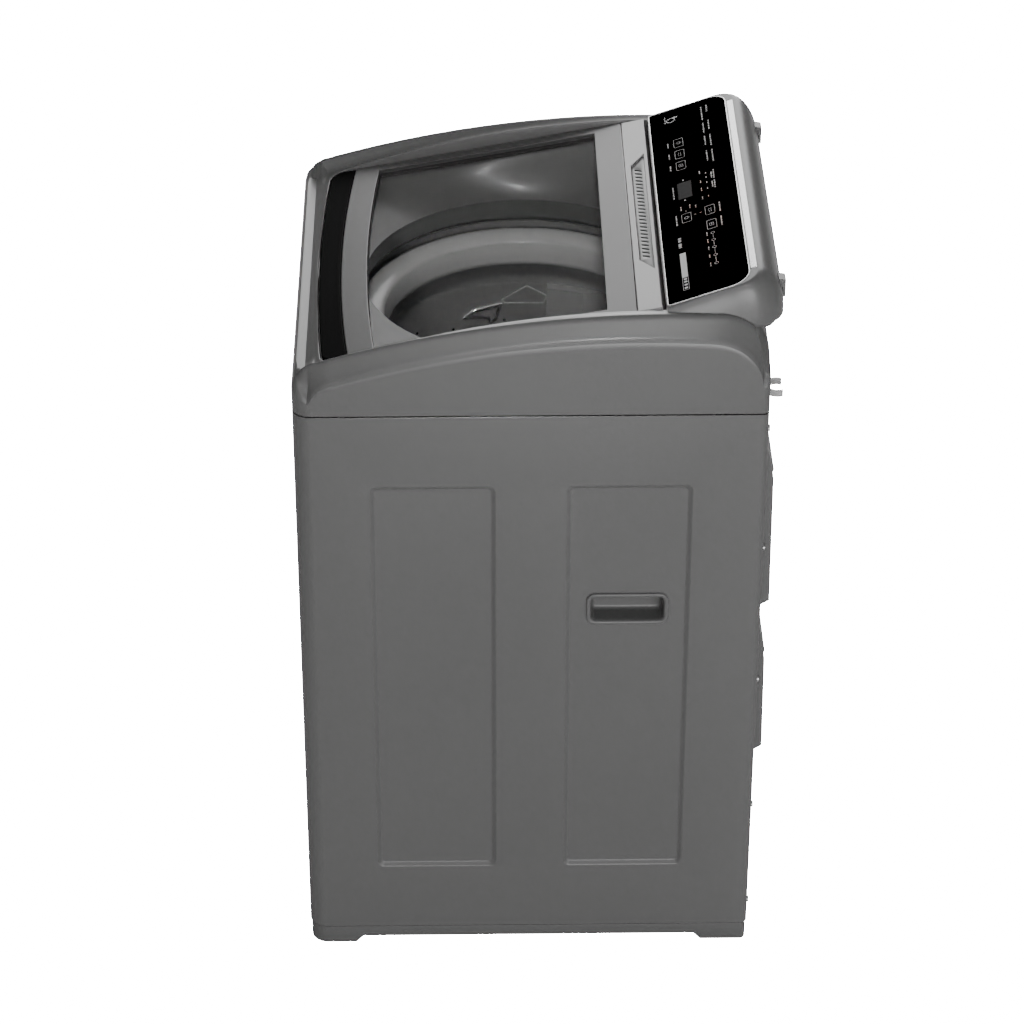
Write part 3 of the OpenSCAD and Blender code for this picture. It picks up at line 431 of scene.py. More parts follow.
# Shape of the arched top, shared by the deck and what meets it
shape = {
    "halfWidth": 275.0, "front": -285.0, "rear": 265.0, "frontCorner": 22.0, "rearCorner": 8.0,
    "sideArch": (120.0, -300.0, 1180.0), "rimArch": (153.0, -281.0, 1180.0),
    "ridgeArch": (140.0, -498.8, 1400.0), "ridgeHalf": 254.0, "ridgeWidth": 11.0,
    "ridgeFront": (-255.0, 800.0, 31.0, 44.3), "lip": (-270.0, 821.0, 0.35),
    "seam": 780.0, "tubCentre": (0.0, -12.0), "mouthRadius": 193.5, "mouthRear": 92.0,
}
lid = {
    "rear": (140.5, 901.4), "tilt": 10.4, "length": 405.7, "half": 237.5, "taper": 4.2, "frontCorner": 18.0,
    "bow": 3000.0, "innerBow": 2120.0, "handleBack": -379.4, "windowFront": -347.6, "windowRear": -63.3,
    "windowHalf": 221.5, "seam": -28.5, "edge": 10.0, "seat": -11.0, "slotEnd": 145.3,
}
lidSlope = math.radians(lid["tilt"])


def archZ(arch, y):
    return arch[1] + math.sqrt(arch[2] ** 2 - (y - arch[0]) ** 2)


def shoulderZ(centre, radius, y):
    return centre[1] + math.sqrt(max(radius ** 2 - (y - centre[0]) ** 2, 0.0))


def ridgeZ(y):
    start, low, reach, rise = shape["ridgeFront"]
    if y < start:
        return low + rise * math.sqrt(max(1 - ((y - start) / reach) ** 2, 0.0))
    if y > 205:
        return shoulderZ((205.0, 839.7), 60.0, y)
    return archZ(shape["ridgeArch"], y)


def rimZ(y):
    start, height, slope = shape["lip"]
    if y < start:
        inner = height - slope * (y - start)
    elif y > 205:
        inner = shoulderZ((205.0, 839.0), 60.0, y)
    else:
        inner = archZ(shape["rimArch"], y)
    return min(ridgeZ(y), inner)


def sideZ(y):
    if y < -235:
        return shoulderZ((-235.0, 795.0), 30.0, max(y, -264.9))
    if y > 197:
        return shoulderZ((197.0, 817.0), 60.0, min(y, 256.9))
    return archZ(shape["sideArch"], y)


def facetZ(x, y):
    rim, side, crest = rimZ(y), sideZ(y), shape["ridgeHalf"]
    knots = ((crest - shape["ridgeWidth"], rim), (crest, ridgeZ(y)), (271.0, side + 2), (275.0, side - 2),
             (280.0, side - 19.5))
    if x <= knots[0][0]:
        return rim
    for (x0, z0), (x1, z1) in zip(knots, knots[1:]):
        if x <= x1:
            return mix(z0, z1, (x - x0) / (x1 - x0))
    return knots[-1][1]


def topZ(x, y):
    reach = abs(x)
    if reach < 239:
        return rimZ(y)
    spans = (-3.2, -1.6, 0.0, 1.6, 3.2)
    return sum(facetZ(reach + span, y) for span in spans) / len(spans)


def lidPlane(y):
    return lid["rear"][1] + (y - lid["rear"][0]) * math.tan(lidSlope)


def onLid(x, y, z):
    c, s = math.cos(lidSlope), math.sin(lidSlope)
    return Vector((x, lid["rear"][0] + y * c - z * s, lid["rear"][1] + y * s + z * c))


def lidOutline(grow, bowSteps=28, cornerSteps=8):
    innerRadius = lid["bow"] - lid["frontCorner"]
    cx = lid["half"] - lid["taper"] - lid["frontCorner"]
    cy = lid["bow"] - lid["length"] - math.sqrt(innerRadius ** 2 - cx ** 2)
    bowY = lid["bow"] - lid["length"]
    touch = math.degrees(math.atan2(cy - bowY, cx))
    right = arcPoints(cx, cy, lid["frontCorner"] + grow, 0, touch, cornerSteps)
    bow = arcPoints(0, bowY, lid["bow"] + grow, touch, -180 - touch, bowSteps)[1:-1]
    left = [(-x, y) for x, y in reversed(right)]
    return [(lid["half"] + grow, grow)] + right + bow + left + [(-lid["half"] - grow, grow)]


def bowLine(middle, half, steps=24):
    radius = lid["innerBow"]
    points = []
    for step in range(steps + 1):
        x = mix(half, -half, step / steps)
        points.append((x, middle + radius - math.sqrt(radius ** 2 - x ** 2)))
    return points


def windowOutline(grow, steps=24):
    half = lid["windowHalf"] + grow
    front = bowLine(lid["windowFront"] - grow, half, steps)
    return [(half, lid["windowRear"] + grow)] + front + [(-half, lid["windowRear"] + grow)]


# Top deck: rings drawn in from the cabinet's outline, then the lid's well and the mouth
def planRing(drawn):
    frontR = max(shape["frontCorner"] - drawn, 3.0)
    rearR = max(shape["rearCorner"] - drawn, 2.0)
    w = shape["halfWidth"] - drawn
    f = shape["front"] + drawn
    b = shape["rear"] - drawn
    rearShoulder = [257 - 60 * (1 - math.sin(math.radians(a))) for a in range(90, 0, -10)]
    arch = [197 - 432 * i / 34 for i in range(35)]
    frontShoulder = [-235 - 28 * math.sin(math.radians(a)) for a in range(15, 91, 15)]
    side = []
    for y in rearShoulder + arch + frontShoulder:
        share = (257 - y) / 520
        side.append((w, mix(b - rearR, f + frontR, share)))
    corner = arcPoints(w - frontR, f + frontR, frontR, 0, -90, 8)[1:]
    frontEdge = [(mix(w - frontR, frontR - w, i / 28), f) for i in range(1, 28)]
    half = side + corner + frontEdge
    leftSide = [(-x, y) for x, y in reversed(side + corner)]
    rearLeft = arcPoints(rearR - w, b - rearR, rearR, 180, 90, 5)[1:]
    rearEdge = [(mix(rearR - w, w - rearR, i / 20), b) for i in range(1, 20)]
    rearRight = [(-x, y) for x, y in reversed(rearLeft)]
    return half + leftSide + rearLeft + rearEdge + rearRight


# How far round a front corner each point of a deck ring lies: 0 along the sides, 1 along the front
def cornerShares():
    half = [0.0] * 50 + [step / 8 for step in range(1, 9)]
    return half + [1.0] * 27 + half[::-1] + [0.0] * 29


def ringZ(points, drawn):
    front = sum(rimZ(shape["front"] + drawn + span) for span in (-2.4, -1.2, 0.0, 1.2, 2.4)) / 5
    fade = 1 - smoothShare(drawn / 14)
    return [mix(topZ(x, y), front, share * fade) for (x, y), share in zip(points, cornerShares())]


def buildDeck():
    outline = planRing(0)
    outlineZ = ringZ(outline, 0.0)
    wellLine = [(x, lid["rear"][0] + y * math.cos(lidSlope)) for x, y in lidOutline(1.5)]
    wellLine[0] = (wellLine[0][0], lid["slotEnd"])
    wellLine[-1] = (wellLine[-1][0], lid["slotEnd"])
    circle = arcPoints(*shape["tubCentre"], shape["mouthRadius"], 0, 360, 240)[:-1]
    mouth = [point for point in circle if point[1] < shape["mouthRear"]]
    centre = (0.0, -60.0)
    well = []
    mouthRing = []
    mouthCentre = shape["tubCentre"]
    for x, y in planRing(25):
        if y > 139:
            share = min(abs(x) / 250.0, 1.0)
            drop = 1 - (y - 139) / 110 * 0.14
            target = (math.copysign(240.0 * share * (drop if share > 0.99 else 0.86), x), lid["slotEnd"])
        else:
            target = alongRay(wellLine, centre, math.atan2(y - centre[1], x - centre[0]))
            if -235 < y:
                target = (math.copysign(239.0 - 4.2 * (lid["rear"][0] - y) / 399, x), y)
        well.append(target)
        mouthRing.append(alongRay(mouth, mouthCentre, math.atan2(target[1] + 12, target[0])))
    rows = [[Vector((x, y, shape["seam"] + 0.6)) for x, y in planRing(0.8)],
            [Vector((x, y, shape["seam"] + 1.4)) for x, y in outline]]
    for share in (0.45, 0.8, 0.93):
        heights = [mix(shape["seam"] + 1.4, z - 0.6, share) for z in outlineZ]
        rows.append([Vector((x, y, z)) for (x, y), z in zip(outline, heights)])
    for drawn in (0.0, 0.35, 1.0, 2.0, 3.0, 4.0, 5.2, 7.0, 9.5, 12.5, 15.5, 17.5, 19.0, 20.3, 21.6, 23.0,
                  25.0):
        ring = planRing(drawn)
        rows.append([Vector((x, y, z)) for (x, y), z in zip(ring, ringZ(ring, drawn))])
    inner = planRing(25)

    def between(share, lift=0.0):
        row = []
        for a, b in zip(inner, well):
            x, y = mix(a[0], b[0], share), mix(a[1], b[1], share)
            row.append(Vector((x, y, topZ(x, y) + lift)))
        return row

    for share in (0.2, 0.4, 0.6, 0.72, 0.82):
        rows.append(between(share))
    rows.append(between(0.9, -0.1))
    rows.append(between(0.97, -0.5))
    rows.append(between(1.0, -1.5))

    def seatZ(y):
        return min(lidPlane(y) + lid["seat"], 880.0 if y > 117 else 1e9)

    rows.append([Vector((x, y, seatZ(y) + 1.2)) for x, y in well])
    for share, drop in ((0.03, 0.0), (0.12, 0.0), (0.2, 0.01), (0.26, 0.05), (0.32, 0.12), (0.45, 0.33),
                        (0.62, 0.60), (0.78, 0.80), (0.9, 0.92), (0.97, 0.975), (1.0, 1.0)):
        row = []
        for a, b in zip(well, mouthRing):
            x, y = mix(a[0], b[0], share), mix(a[1], b[1], share)
            row.append(Vector((x, y, mix(seatZ(y), 812.0, drop))))
        rows.append(row)
    rows.append([Vector((x, y, 809.0)) for x, y in mouthRing])
    rows.append([Vector((x * 1.004, (y + 12) * 1.004 - 12, 806.5)) for x, y in mouthRing])
    rows.append([Vector((x * 1.012, (y + 12) * 1.012 - 12, 787.0)) for x, y in mouthRing])
    bm = bmesh.new()
    skin(bm, rows)
    return bm


deck = addPiece("topDeck", buildDeck(), "cabinet", materials["deckPlastic"], ("top_deck",),
                sharp=38, outward=(1, 0, 0))
thicken(deck, 2.0)
print("stage: deck")

# Cabinet wrap with its side pressings
wrap = {
    "low": 30.6, "high": 779.4, "sheet": 1.2, "rearReturn": 16.0, "pressWidth": 146.0, "pressLow": 126.0,
    "pressHigh": 684.0, "pressY": (-124.0, 106.0), "depth": 4.0,
    "handleZ": 509.5, "handleWidth": 94.0, "handleHeight": 40.0,
}
pressRows = ((-1.6, 0.0, 9.6), (-0.9, 0.05, 8.9), (-0.1, 0.35, 8.0), (0.8, 1.0, 7.4), (3.2, 3.0, 6.0),
             (4.1, 3.65, 5.4), (5.0, 3.95, 4.8), (5.9, 4.0, 4.4))


def buildWrap():
    bm = bmesh.new()
    rear = shape["rear"]
    start = wrap["rearReturn"] - shape["halfWidth"]
    half = [(-start, rear)]
    half += arcPoints(267, 257, 8, 90, 0, 6)
    half += arcPoints(253, -263, 22, 0, -90, 12)
    path = half + [(-x, y) for x, y in reversed(half)]
    heights = (wrap["low"], wrap["low"] + 0.8, wrap["high"] - 0.8, wrap["high"])
    draws = (0.6, 0.0, 0.0, 0.6)
    rows = []
    for z, drawn in zip(heights, draws):
        rows.append([Vector((x * (1 - drawn / 275), y * (1 - drawn / 275), z)) for x, y in path])
    skin(bm, rows, closed=False)
    bm.faces.ensure_lookup_table()
    for way in (-1, 1):
        sides = [face for face in bm.faces
                 if face.normal.x * way > 0.999 or face.normal.x * way < -0.999]
        side = max((face for face in sides if face.calc_center_median().x * way > 270),
                   key=lambda face: face.calc_area())
        border = list(side.edges)
        bmesh.ops.delete(bm, geom=[side], context="FACES_ONLY")
        loops = []
        midZ = (wrap["pressLow"] + wrap["pressHigh"]) / 2
        height = wrap["pressHigh"] - wrap["pressLow"]
        for y in wrap["pressY"]:
            rows = []
            for drawn, depth, corner in pressRows:
                points = roundedRect(wrap["pressWidth"] - 2 * drawn, height - 2 * drawn, corner, y, midZ, 6)
                rows.append([Vector((way * (275 - depth), a, b)) for a, b in points])
            chains = skin(bm, rows)
            loops.append(chains[0])
            inner = [chains[-1]]
            if y == wrap["pressY"][1]:
                points = roundedRect(wrap["handleWidth"], wrap["handleHeight"], 8.0, y, wrap["handleZ"], 6)
                inner.append(ringOf(bm, [Vector((way * 271.0, a, b)) for a, b in points]))
            fillFlat(bm, inner, Vector((way, 0, 0)))
        edges = border + [edge for chain in loops for edge in edgesOf(chain)]
        bmesh.ops.triangle_fill(bm, use_beauty=True, use_dissolve=False, edges=edges, normal=(way, 0, 0))
    return bm


wrapPiece = addPiece("cabinetWrap", buildWrap(), "cabinet", materials["cabinetPaint"], ("cabinet_wrap",),
                     sharp=30, outward=(1, 0, 0))
thicken(wrapPiece, wrap["sheet"])

# Plinth: a skirt whose lower edge drops to the four corners
plinth = {
    "drawn": 1.5, "high": 29.6, "low": 12.5, "cornerLow": 3.0, "block": 58.0, "slope": 9.0, "wall": 5.0,
    "blockTop": 28.0, "blockLow": 6.4, "pocketTop": 16.0, "pocketRadius": 23.0, "boreRadius": 5.05,
}


def plinthRing(drawn):
    rf = max(shape["frontCorner"] - drawn, 2.0)
    rr = max(shape["rearCorner"] - drawn, 1.5)
    w, f, b = 275 - drawn, -285 + drawn, 265 - drawn
    ends = (plinth["block"], plinth["block"] + plinth["slope"])
    right = [(w, 265 - ends[0]), (w, 265 - ends[1]), (w, -285 + ends[1]), (w, -285 + ends[0])]
    right += arcPoints(w - rf, f + rf, rf, 0, -90, 8)
    right += [(275 - ends[0], f), (275 - ends[1], f)]
    rearRight = [(275 - ends[1], b), (275 - ends[0], b)] + arcPoints(w - rr, b - rr, rr, 90, 0, 4)
    ring = rearRight + right
    return ring + [(-x, y) for x, y in reversed(ring)]


def plinthLow(x, y):
    fromSide = 275 - abs(x)
    fromEnd = min(y + 285, 265 - y)
    reach = max(fromSide, fromEnd) - plinth["block"]
    return mix(plinth["cornerLow"], plinth["low"], smoothShare(reach / plinth["slope"]))


def upright(bm, points, first, second):
    return skin(bm, [[Vector((x, y, z)) for x, y in points] for z in (first, second)])


def buildPlinth():
    bm = bmesh.new()
    o, wall, high = plinth["drawn"], plinth["wall"], plinth["high"]
    rows = []
    section = ((o + wall, high + 20, False), (o + 1.2, high + 20, False), (o + 1.2, high - 0.2, False),
               (o + 0.8, high - 0.2, False), (o + 0.2, high - 0.6, False), (o, high - 1.4, False),
               (o, 2.6, True), (o + 0.5, 1.1, True), (o + 1.4, 0.3, True), (o + 2.6, 0.0, True),
               (o + wall, 0.0, True))
    for drawn, z, fromLow in section:
        row = []
        for x, y in plinthRing(drawn):
            row.append(Vector((x, y, z + (plinthLow(x, y) if fromLow else 0.0))))
        rows.append(row)
    rows.append(rows[0])
    skin(bm, rows)
    for sx in (-1, 1):
        for y in (-254.0, 235.0):
            hole = arcPoints(sx * 240, y, plinth["pocketRadius"], 0, 360, 32)[:-1]
            bore = arcPoints(sx * 240, y, plinth["boreRadius"], 0, 360, 32)[:-1]
            corner, shift = (14.0, 1.5) if y < 0 else (3.0, 0.5)
            square = roundedRect(54.0, 50.0, corner, sx * 241.0, y + shift)
            outer = upright(bm, square, plinth["blockTop"], plinth["blockLow"])
            inner = upright(bm, hole, plinth["blockLow"], plinth["pocketTop"])
            tube = upright(bm, bore, plinth["pocketTop"], plinth["blockTop"])
            fillFlat(bm, [outer[1], inner[0]], Vector((0, 0, -1)))
            fillFlat(bm, [inner[1], tube[0]], Vector((0, 0, -1)))
            fillFlat(bm, [outer[0], tube[1]], Vector((0, 0, 1)))
    return bm


addPiece("plinthSkirt", buildPlinth(), "cabinet", materials["plinthPlastic"], ("base_frame",),
         sharp=40)

# Recessed side handles
handle = {"width": 98.0, "height": 44.0, "corner": 11.0, "depth": 26.0, "wall": 2.5}


def buildHandle(way):
    bm = bmesh.new()
    w, h, r, depth = handle["width"], handle["height"], handle["corner"], handle["depth"]
    rows = [(2.3, -depth, 8.7), (2.3, 0.0, 8.7), (0.0, 0.0, r), (0.0, 1.6, r), (0.4, 2.4, r - 0.4),
            (1.2, 2.9, r - 1.2), (2.0, 3.0, r - 2), (3.2, 3.0, 8.0), (4.2, 2.7, 7.2), (5.0, 1.9, 6.6),
            (5.6, 0.8, 6.2), (6.2, -4.0, 6.0), (6.8, -18.0, 5.5), (7.6, -21.5, 5.0), (9.4, -23.2, 4.2),
            (11.0, -23.5, 3.6)]
    places = []
    for drawn, out, corner in rows:
        points = roundedRect(w - 2 * drawn, h - 2 * drawn, corner, wrap["pressY"][1], wrap["handleZ"], 6)
        places.append([Vector((way * (271.0 + out), y, z)) for y, z in points])
    chains = skin(bm, places)
    capOf(bm, chains[0])
    capOf(bm, chains[-1])
    return bm


for way, label in ((1, "right"), (-1, "left")):
    addPiece("sideHandle" + label.capitalize(), buildHandle(way), "cabinet", materials["cabinetPaint"],
             ("side_handle_" + label,), sharp=40)
print("stage: cabinet")

# Console: panel frame of reference, housing, panel, trim, display and keys
console = {
    "origin": (147.5, 904.0), "tilt": 19.5, "half": 238.0, "length": 97.0, "lowCorner": 3.0,
    "topCorner": 22.0, "bottomHalf": 250.0, "front": 146.2, "rear": 281.5, "rearCorner": 42.0,
    "faceHalf": 241.0, "faceRear": 108.5, "faceCorner": 25.0, "flankLow": 889.0,
    "stripFrom": 99.4, "stripTo": 107.4, "stripHalf": 213.0,
}
panelSlope = math.radians(console["tilt"])


def onPanel(x, y, z):
    c, s = math.cos(panelSlope), math.sin(panelSlope)
    return Vector((x, console["origin"][0] + y * c - z * s, console["origin"][1] + y * s + z * c))


def panelOutline(grow, cornerSteps=8):
    half = console["half"] + grow
    low = max(console["lowCorner"] + grow, 0.8)
    top = console["topCorner"] + grow
    height = console["length"] + 2 * grow
    return roundedRect(2 * half, height, (top, top, low, low), 0.0, console["length"] / 2, cornerSteps)


def buildConsole():
    bm = bmesh.new()
    steps = 10

    # Stations from the front right corner round the rear to the front left corner
    topHalf, topRear, topCorner = console["faceHalf"], console["faceRear"], console["faceCorner"]
    top = [(topHalf, mix(-1.5, topRear - topCorner, i / 8)) for i in range(9)]
    top += arcPoints(topHalf - topCorner, topRear - topCorner, topCorner, 0, 90, steps)[1:]
    top += [(mix(topHalf - topCorner, topCorner - topHalf, i / 16), topRear) for i in range(1, 16)]
    mirrored = [(-x, y) for x, y in reversed(top[:9 + steps])]
    top += mirrored
    half, rear, corner = console["bottomHalf"], console["rear"], console["rearCorner"]
    low = [(half, mix(console["front"], rear - corner, i / 8)) for i in range(9)]
    low += arcPoints(half - corner, rear - corner, corner, 0, 90, steps)[1:]
    low += [(mix(half - corner, corner - half, i / 16), rear) for i in range(1, 16)]
    low += [(-x, y) for x, y in reversed(low[:9 + steps])]
    rows = []
    shares = (0.0, 0.06, 0.14, 0.24, 0.36, 0.5, 0.64, 0.78, 0.9, 1.0)

    def flank(topPoint, lowPoint):
        start = onPanel(topPoint[0], topPoint[1], 0.0)
        end = Vector((lowPoint[0], lowPoint[1], console["flankLow"]))
        away = Vector((lowPoint[0] - start.x, lowPoint[1] - start.y, 0.0))
        rearShare = smoothShare((topPoint[1] - 60) / 45)
        outward = mix(3.0, 15.0, rearShare)
        flat = away.normalized() if away.length > 0.1 else Vector((1, 0, 0))
        drop = start.z - end.z
        first = start + flat * outward + Vector((0, 0, outward * flat.y * math.tan(panelSlope) * 0.36))
        second = end + Vector((0, 0, drop * mix(0.72, 0.55, rearShare)))
        second += flat * mix(-2.0, -0.5, rearShare)
        points = []
        for share in shares:
            rest = 1 - share
            points.append(start * rest ** 3 + first * 3 * rest * rest * share
                          + second * 3 * rest * share * share + end * share ** 3)
        return points

    columns = [flank(a, b) for a, b in zip(top, low)]
    for index in range(len(shares)):
        rows.append([column[index] for column in columns])
    rows.append([Vector((x, y, 882.0)) for x, y in low])
    drawnLow = []
    for x, y in low:
        drawnLow.append((x * (1 - 1.2 / 250), y - 1.2 * smoothShare((y - 240) / 30)))
    rows.append([Vector((x, y, 880.6)) for x, y in drawnLow])
    rows.append([Vector((x * 0.97, min(y, 272.0), 880.0)) for x, y in low])
    rows.append([Vector((x * 0.94, min(y, 262.0), 880.0)) for x, y in low])
    inwards = [[onPanel(x * (1 - 0.6 / 241), y - 0.6 * (y > 100), 0.0) for x, y in top]]
    chains = skin(bm, [inwards[0]] + rows, closed=False)
    # Top face with the opening for the panel, and the front edge
    opening = panelOutline(2.0)
    frontTop = [chains[0][0], chains[0][-1]]
    bmesh.ops.contextual_create(bm, geom=frontTop)
    hole = skin(bm, [[onPanel(x, y, 0.0) for x, y in opening], [onPanel(x, y, -3.2) for x, y in opening]])
    capOf(bm, hole[1])
    edges = edgesOf(chains[0], True) + edgesOf(hole[0])
    bmesh.ops.triangle_fill(bm, use_beauty=True, use_dissolve=False, edges=edges,
                            normal=onPanel(0, 0, 1) - onPanel(0, 0, 0))
    # Front face below the panel's lower edge and the underside
    bmesh.ops.contextual_create(bm, geom=[chains[-1][0], chains[-1][-1]])
    frontChains = ([chain[0] for chain in chains], [chain[-1] for chain in chains],
                   [chains[0][0], chains[0][-1]], [chains[-1][0], chains[-1][-1]])
    frontEdges = [edge for chain in frontChains for edge in edgesOf(chain, False)]
    bmesh.ops.triangle_fill(bm, use_beauty=True, use_dissolve=False, edges=frontEdges, normal=(0, -1, 0))
    bmesh.ops.triangle_fill(bm, use_beauty=True, use_dissolve=False, edges=edgesOf(chains[-1], True),
                            normal=(0, 0, -1))
    # Upstand below the overhang at the rear
    stand = []
    for z, drawn in ((881.0, 0.0), (862.0, 0.0), (857.0, 0.8), (854.0, 3.0), (853.0, 6.5)):
        points = inset(roundedRect(410, 39, 14, 0, 255, 8), drawn)
        stand.append([Vector((x, y, z)) for x, y in points])
    standChains = skin(bm, stand)
    capOf(bm, standChains[0])
    capOf(bm, standChains[-1])
    return bm


addPiece("consoleHousing", buildConsole(), "cabinet", materials["deckPlastic"], ("console_housing",),
         sharp=42)

keyCentres = ((-145, 33), (-115, 33), (-85, 33), (48, 32.5), (46, 61.5), (81.5, 61.5))
keyLook = {"width": 23.0, "height": 13.0, "gap": 0.3, "thickness": 3.0}
displayLook = {"x": -21.0, "y": 34.0, "width": 41.0, "height": 18.0}

bm = bmesh.new()
holes = [roundedRect(keyLook["width"], keyLook["height"], 1.2, x, y, 3) for x, y in keyCentres]
holes.append(roundedRect(displayLook["width"], displayLook["height"], 1.0, displayLook["x"],
                         displayLook["y"], 3))
plate(bm, onPanel, panelOutline(0.0), holes, -3.0, 0.0, 0.25)
addPiece("controlPanel", bm, "cabinet", materials["panelBlack"], ("control_panel",), sharp=50)

bm = bmesh.new()
plate(bm, onPanel, panelOutline(1.8), [panelOutline(0.1)], -2.0, 0.4, 0.35, support=0.1)
stripMid = (console["stripFrom"] + console["stripTo"]) / 2
strip = roundedRect(2 * console["stripHalf"], console["stripTo"] - console["stripFrom"], 1.2, 0, stripMid, 3)
plate(bm, onPanel, strip, [], -1.5, 0.5, 0.5)
addPiece("silverTrim", bm, "cabinet", materials["silverTrim"], ("panel_trim",), sharp=50)

bm = bmesh.new()
window = roundedRect(displayLook["width"] - 0.4, displayLook["height"] - 0.4, 0.9, displayLook["x"],
                     displayLook["y"], 3)
plate(bm, onPanel, window, [], -3.0, -0.1, 0.2)
addPiece("displayWindow", bm, "cabinet", materials["displayDark"], ("display_window",),
         sharp=50)

for index, (x, y) in enumerate(keyCentres):
    bm = bmesh.new()
    cap = roundedRect(keyLook["width"] - 0.6, keyLook["height"] - 0.6, 1.0, x, y, 3)
    plate(bm, onPanel, cap, [], -3.4, -0.02, 0.25)
    lip = roundedRect(keyLook["width"] + 3, keyLook["height"] + 3, 1.0, x, y, 3)
    plate(bm, onPanel, lip, [], -4.5, -3.2, 0.2)
    stem = arcPoints(x, y, 3.0, 0, 360, 20)[:-1]
    plate(bm, onPanel, stem, [], -7.0, -4.4, 0.1)
    addPiece(f"keyCap{index + 1}", bm, f"key_{index + 1}", materials["panelBlack"], (f"key_{index + 1}",),
             sharp=50)


# Printed marks: short bars, outlines and rings a hair above the surface, none of them lettering
def bar(bm, x0, x1, y0, y1, lift=0.02, thick=0.04):
    middle = onPanel((x0 + x1) / 2, (y0 + y1) / 2, lift)
    turn = Matrix.Rotation(panelSlope, 4, "X")
    size = Matrix.Diagonal((x1 - x0, y1 - y0, thick, 1.0))
    bmesh.ops.create_cube(bm, size=1.0, matrix=Matrix.Translation(middle) @ turn @ size)


stroke = {"width": 0.75, "gap": 0.35, "space": 1.1}


def wordOf(bm, x0, x1, y, height=1.6, lift=0.02):
    pattern = (5, 3, 7, 4)
    index = int(abs(x0) + abs(y)) % 4
    x = x0
    while x < x1 - stroke["width"]:
        for step in range(pattern[index % 4]):
            if x > x1 - stroke["width"]:
                break
            half = height * (0.5 if (step + index) % 3 else 0.36)
            bar(bm, x, x + stroke["width"], y - half, y + half, lift)
            x += stroke["width"] + stroke["gap"]
        x += stroke["space"]
        index += 1


def outlineOf(bm, points, width, lift=0.02):
    flat = [inset(points, width / 2), inset(points, -width / 2)]
    plate(bm, onPanel, flat[1], [flat[0]], lift - 0.02, lift + 0.02, 0.005, steps=1, support=0)


marks = {
    "underKeys": ((-151, -139, 19.8), (-121, -109, 19.8), (-91, -79, 19.8), (-35, -4, 20), (37, 61, 20),
                  (34, 57, 73.7), (69, 92, 73.7)),
    "lists": ((-222, -203, 73.4), (-180, -155, 73.4), (-141, -112, 73.4), (-102, -70, 73.4),
              (-221, -183, 66.5), (-176, -149, 66.5), (-141, -116, 66.5), (-103, -75, 66.5),
              (-50, -28, 71.5), (-24, -4, 71.5), (-46, -30, 68.6), (-22, -6, 68.6)),
    "small": ((-56, -48, 54.5), (-32, -25, 54.5), (-13, -5, 54.5), (9, 16, 54.5), (98, 107, 54.3),
              (115, 124, 54.3), (133, 141, 54.3), (152, 160, 54.3), (171, 180, 54.3), (18, 28, 27),
              (18, 29, 38), (24, 31, 45)),
    "dashes": ((-47, 62), (-36, 62), (-23, 62), (-8, 62), (11.5, 62)),
    "rings": ((102.5, 61.3), (119.5, 61.3), (136.8, 61.3), (156.1, 61.3), (175.4, 61.3)),
}
bm = bmesh.new()
for x0, x1, y in marks["underKeys"] + marks["lists"]:
    wordOf(bm, x0, x1, y, 1.7)
for x0, x1, y in marks["small"]:
    wordOf(bm, x0, x1, y, 1.3)
for x, y in marks["dashes"]:
    bar(bm, x - 1.6, x + 1.6, y - 0.5, y + 0.5)
for x, y in marks["rings"]:
    outlineOf(bm, arcPoints(x, y, 2.3, 0, 360, 20)[:-1], 0.45)
for (xa, y), (xb, _) in zip(marks["rings"], marks["rings"][1:]):
    bar(bm, xa + 4.5, xb - 4.5, y - 0.2, y + 0.2)
for x, y in ((-46, 33.5), (4.6, 33.2)):
    bar(bm, x - 1.1, x + 1.1, y - 1.1, y + 1.1)
bar(bm, 30.0, 34.5, 32.4, 32.8)
bar(bm, 45.8, 46.2, 41.5, 44.5)
bar(bm, 45.8, 46.2, 48.5, 51.5)
outlineOf(bm, arcPoints(-210, 26.5, 5.2, 0, 360, 28)[:-1], 1.1)
bar(bm, -216.5, -214.0, 29.0, 35.5)
wordOf(bm, -222, -203, 19.4, 1.3)
wordOf(bm, 92, 102, 21, 4.2)
wordOf(bm, 105, 116, 21, 4.2)
bar(bm, 129, 186, 19, 26.4)
outlineOf(bm, roundedRect(28, 7.0, 0.5, 201, 22.7, 2), 0.5)
for x in (190.5, 196.5, 203.5, 210.5):
    bar(bm, x - 1.8, x + 1.8, 20.8, 24.6)
addPiece("panelMarks", bm, "cabinet", materials["printLight"], (), sharp=50)

for index, (x, y) in enumerate(keyCentres):
    bm = bmesh.new()
    outlineOf(bm, roundedRect(21.0, 11.6, 1.6, x, y, 4), 0.45, 0.0)
    kind = index % 3
    if kind == 0:
        outlineOf(bm, arcPoints(x, y, 2.6, 0, 360, 20)[:-1], 0.4, 0.0)
        bar(bm, x - 0.2, x + 0.2, y + 1.0, y + 4.0, 0.0)
    elif kind == 1:
        for step in (-3.2, 0, 3.2):
            bar(bm, x + step - 1.0, x + step + 1.0, y - 2.2 + abs(step) * 0.3, y - 1.7 + abs(step) * 0.3, 0.0)
            bar(bm, x + step - 1.0, x + step + 1.0, y + 1.2, y + 1.7, 0.0)
    else:
        outlineOf(bm, roundedRect(6.5, 5.0, 1.0, x, y, 3), 0.4, 0.0)
        bar(bm, x - 1.8, x + 1.8, y - 0.3, y + 0.3, 0.0)
    addPiece(f"keyMark{index + 1}", bm, f"key_{index + 1}", materials["printLight"], (), sharp=50)
print("stage: console")

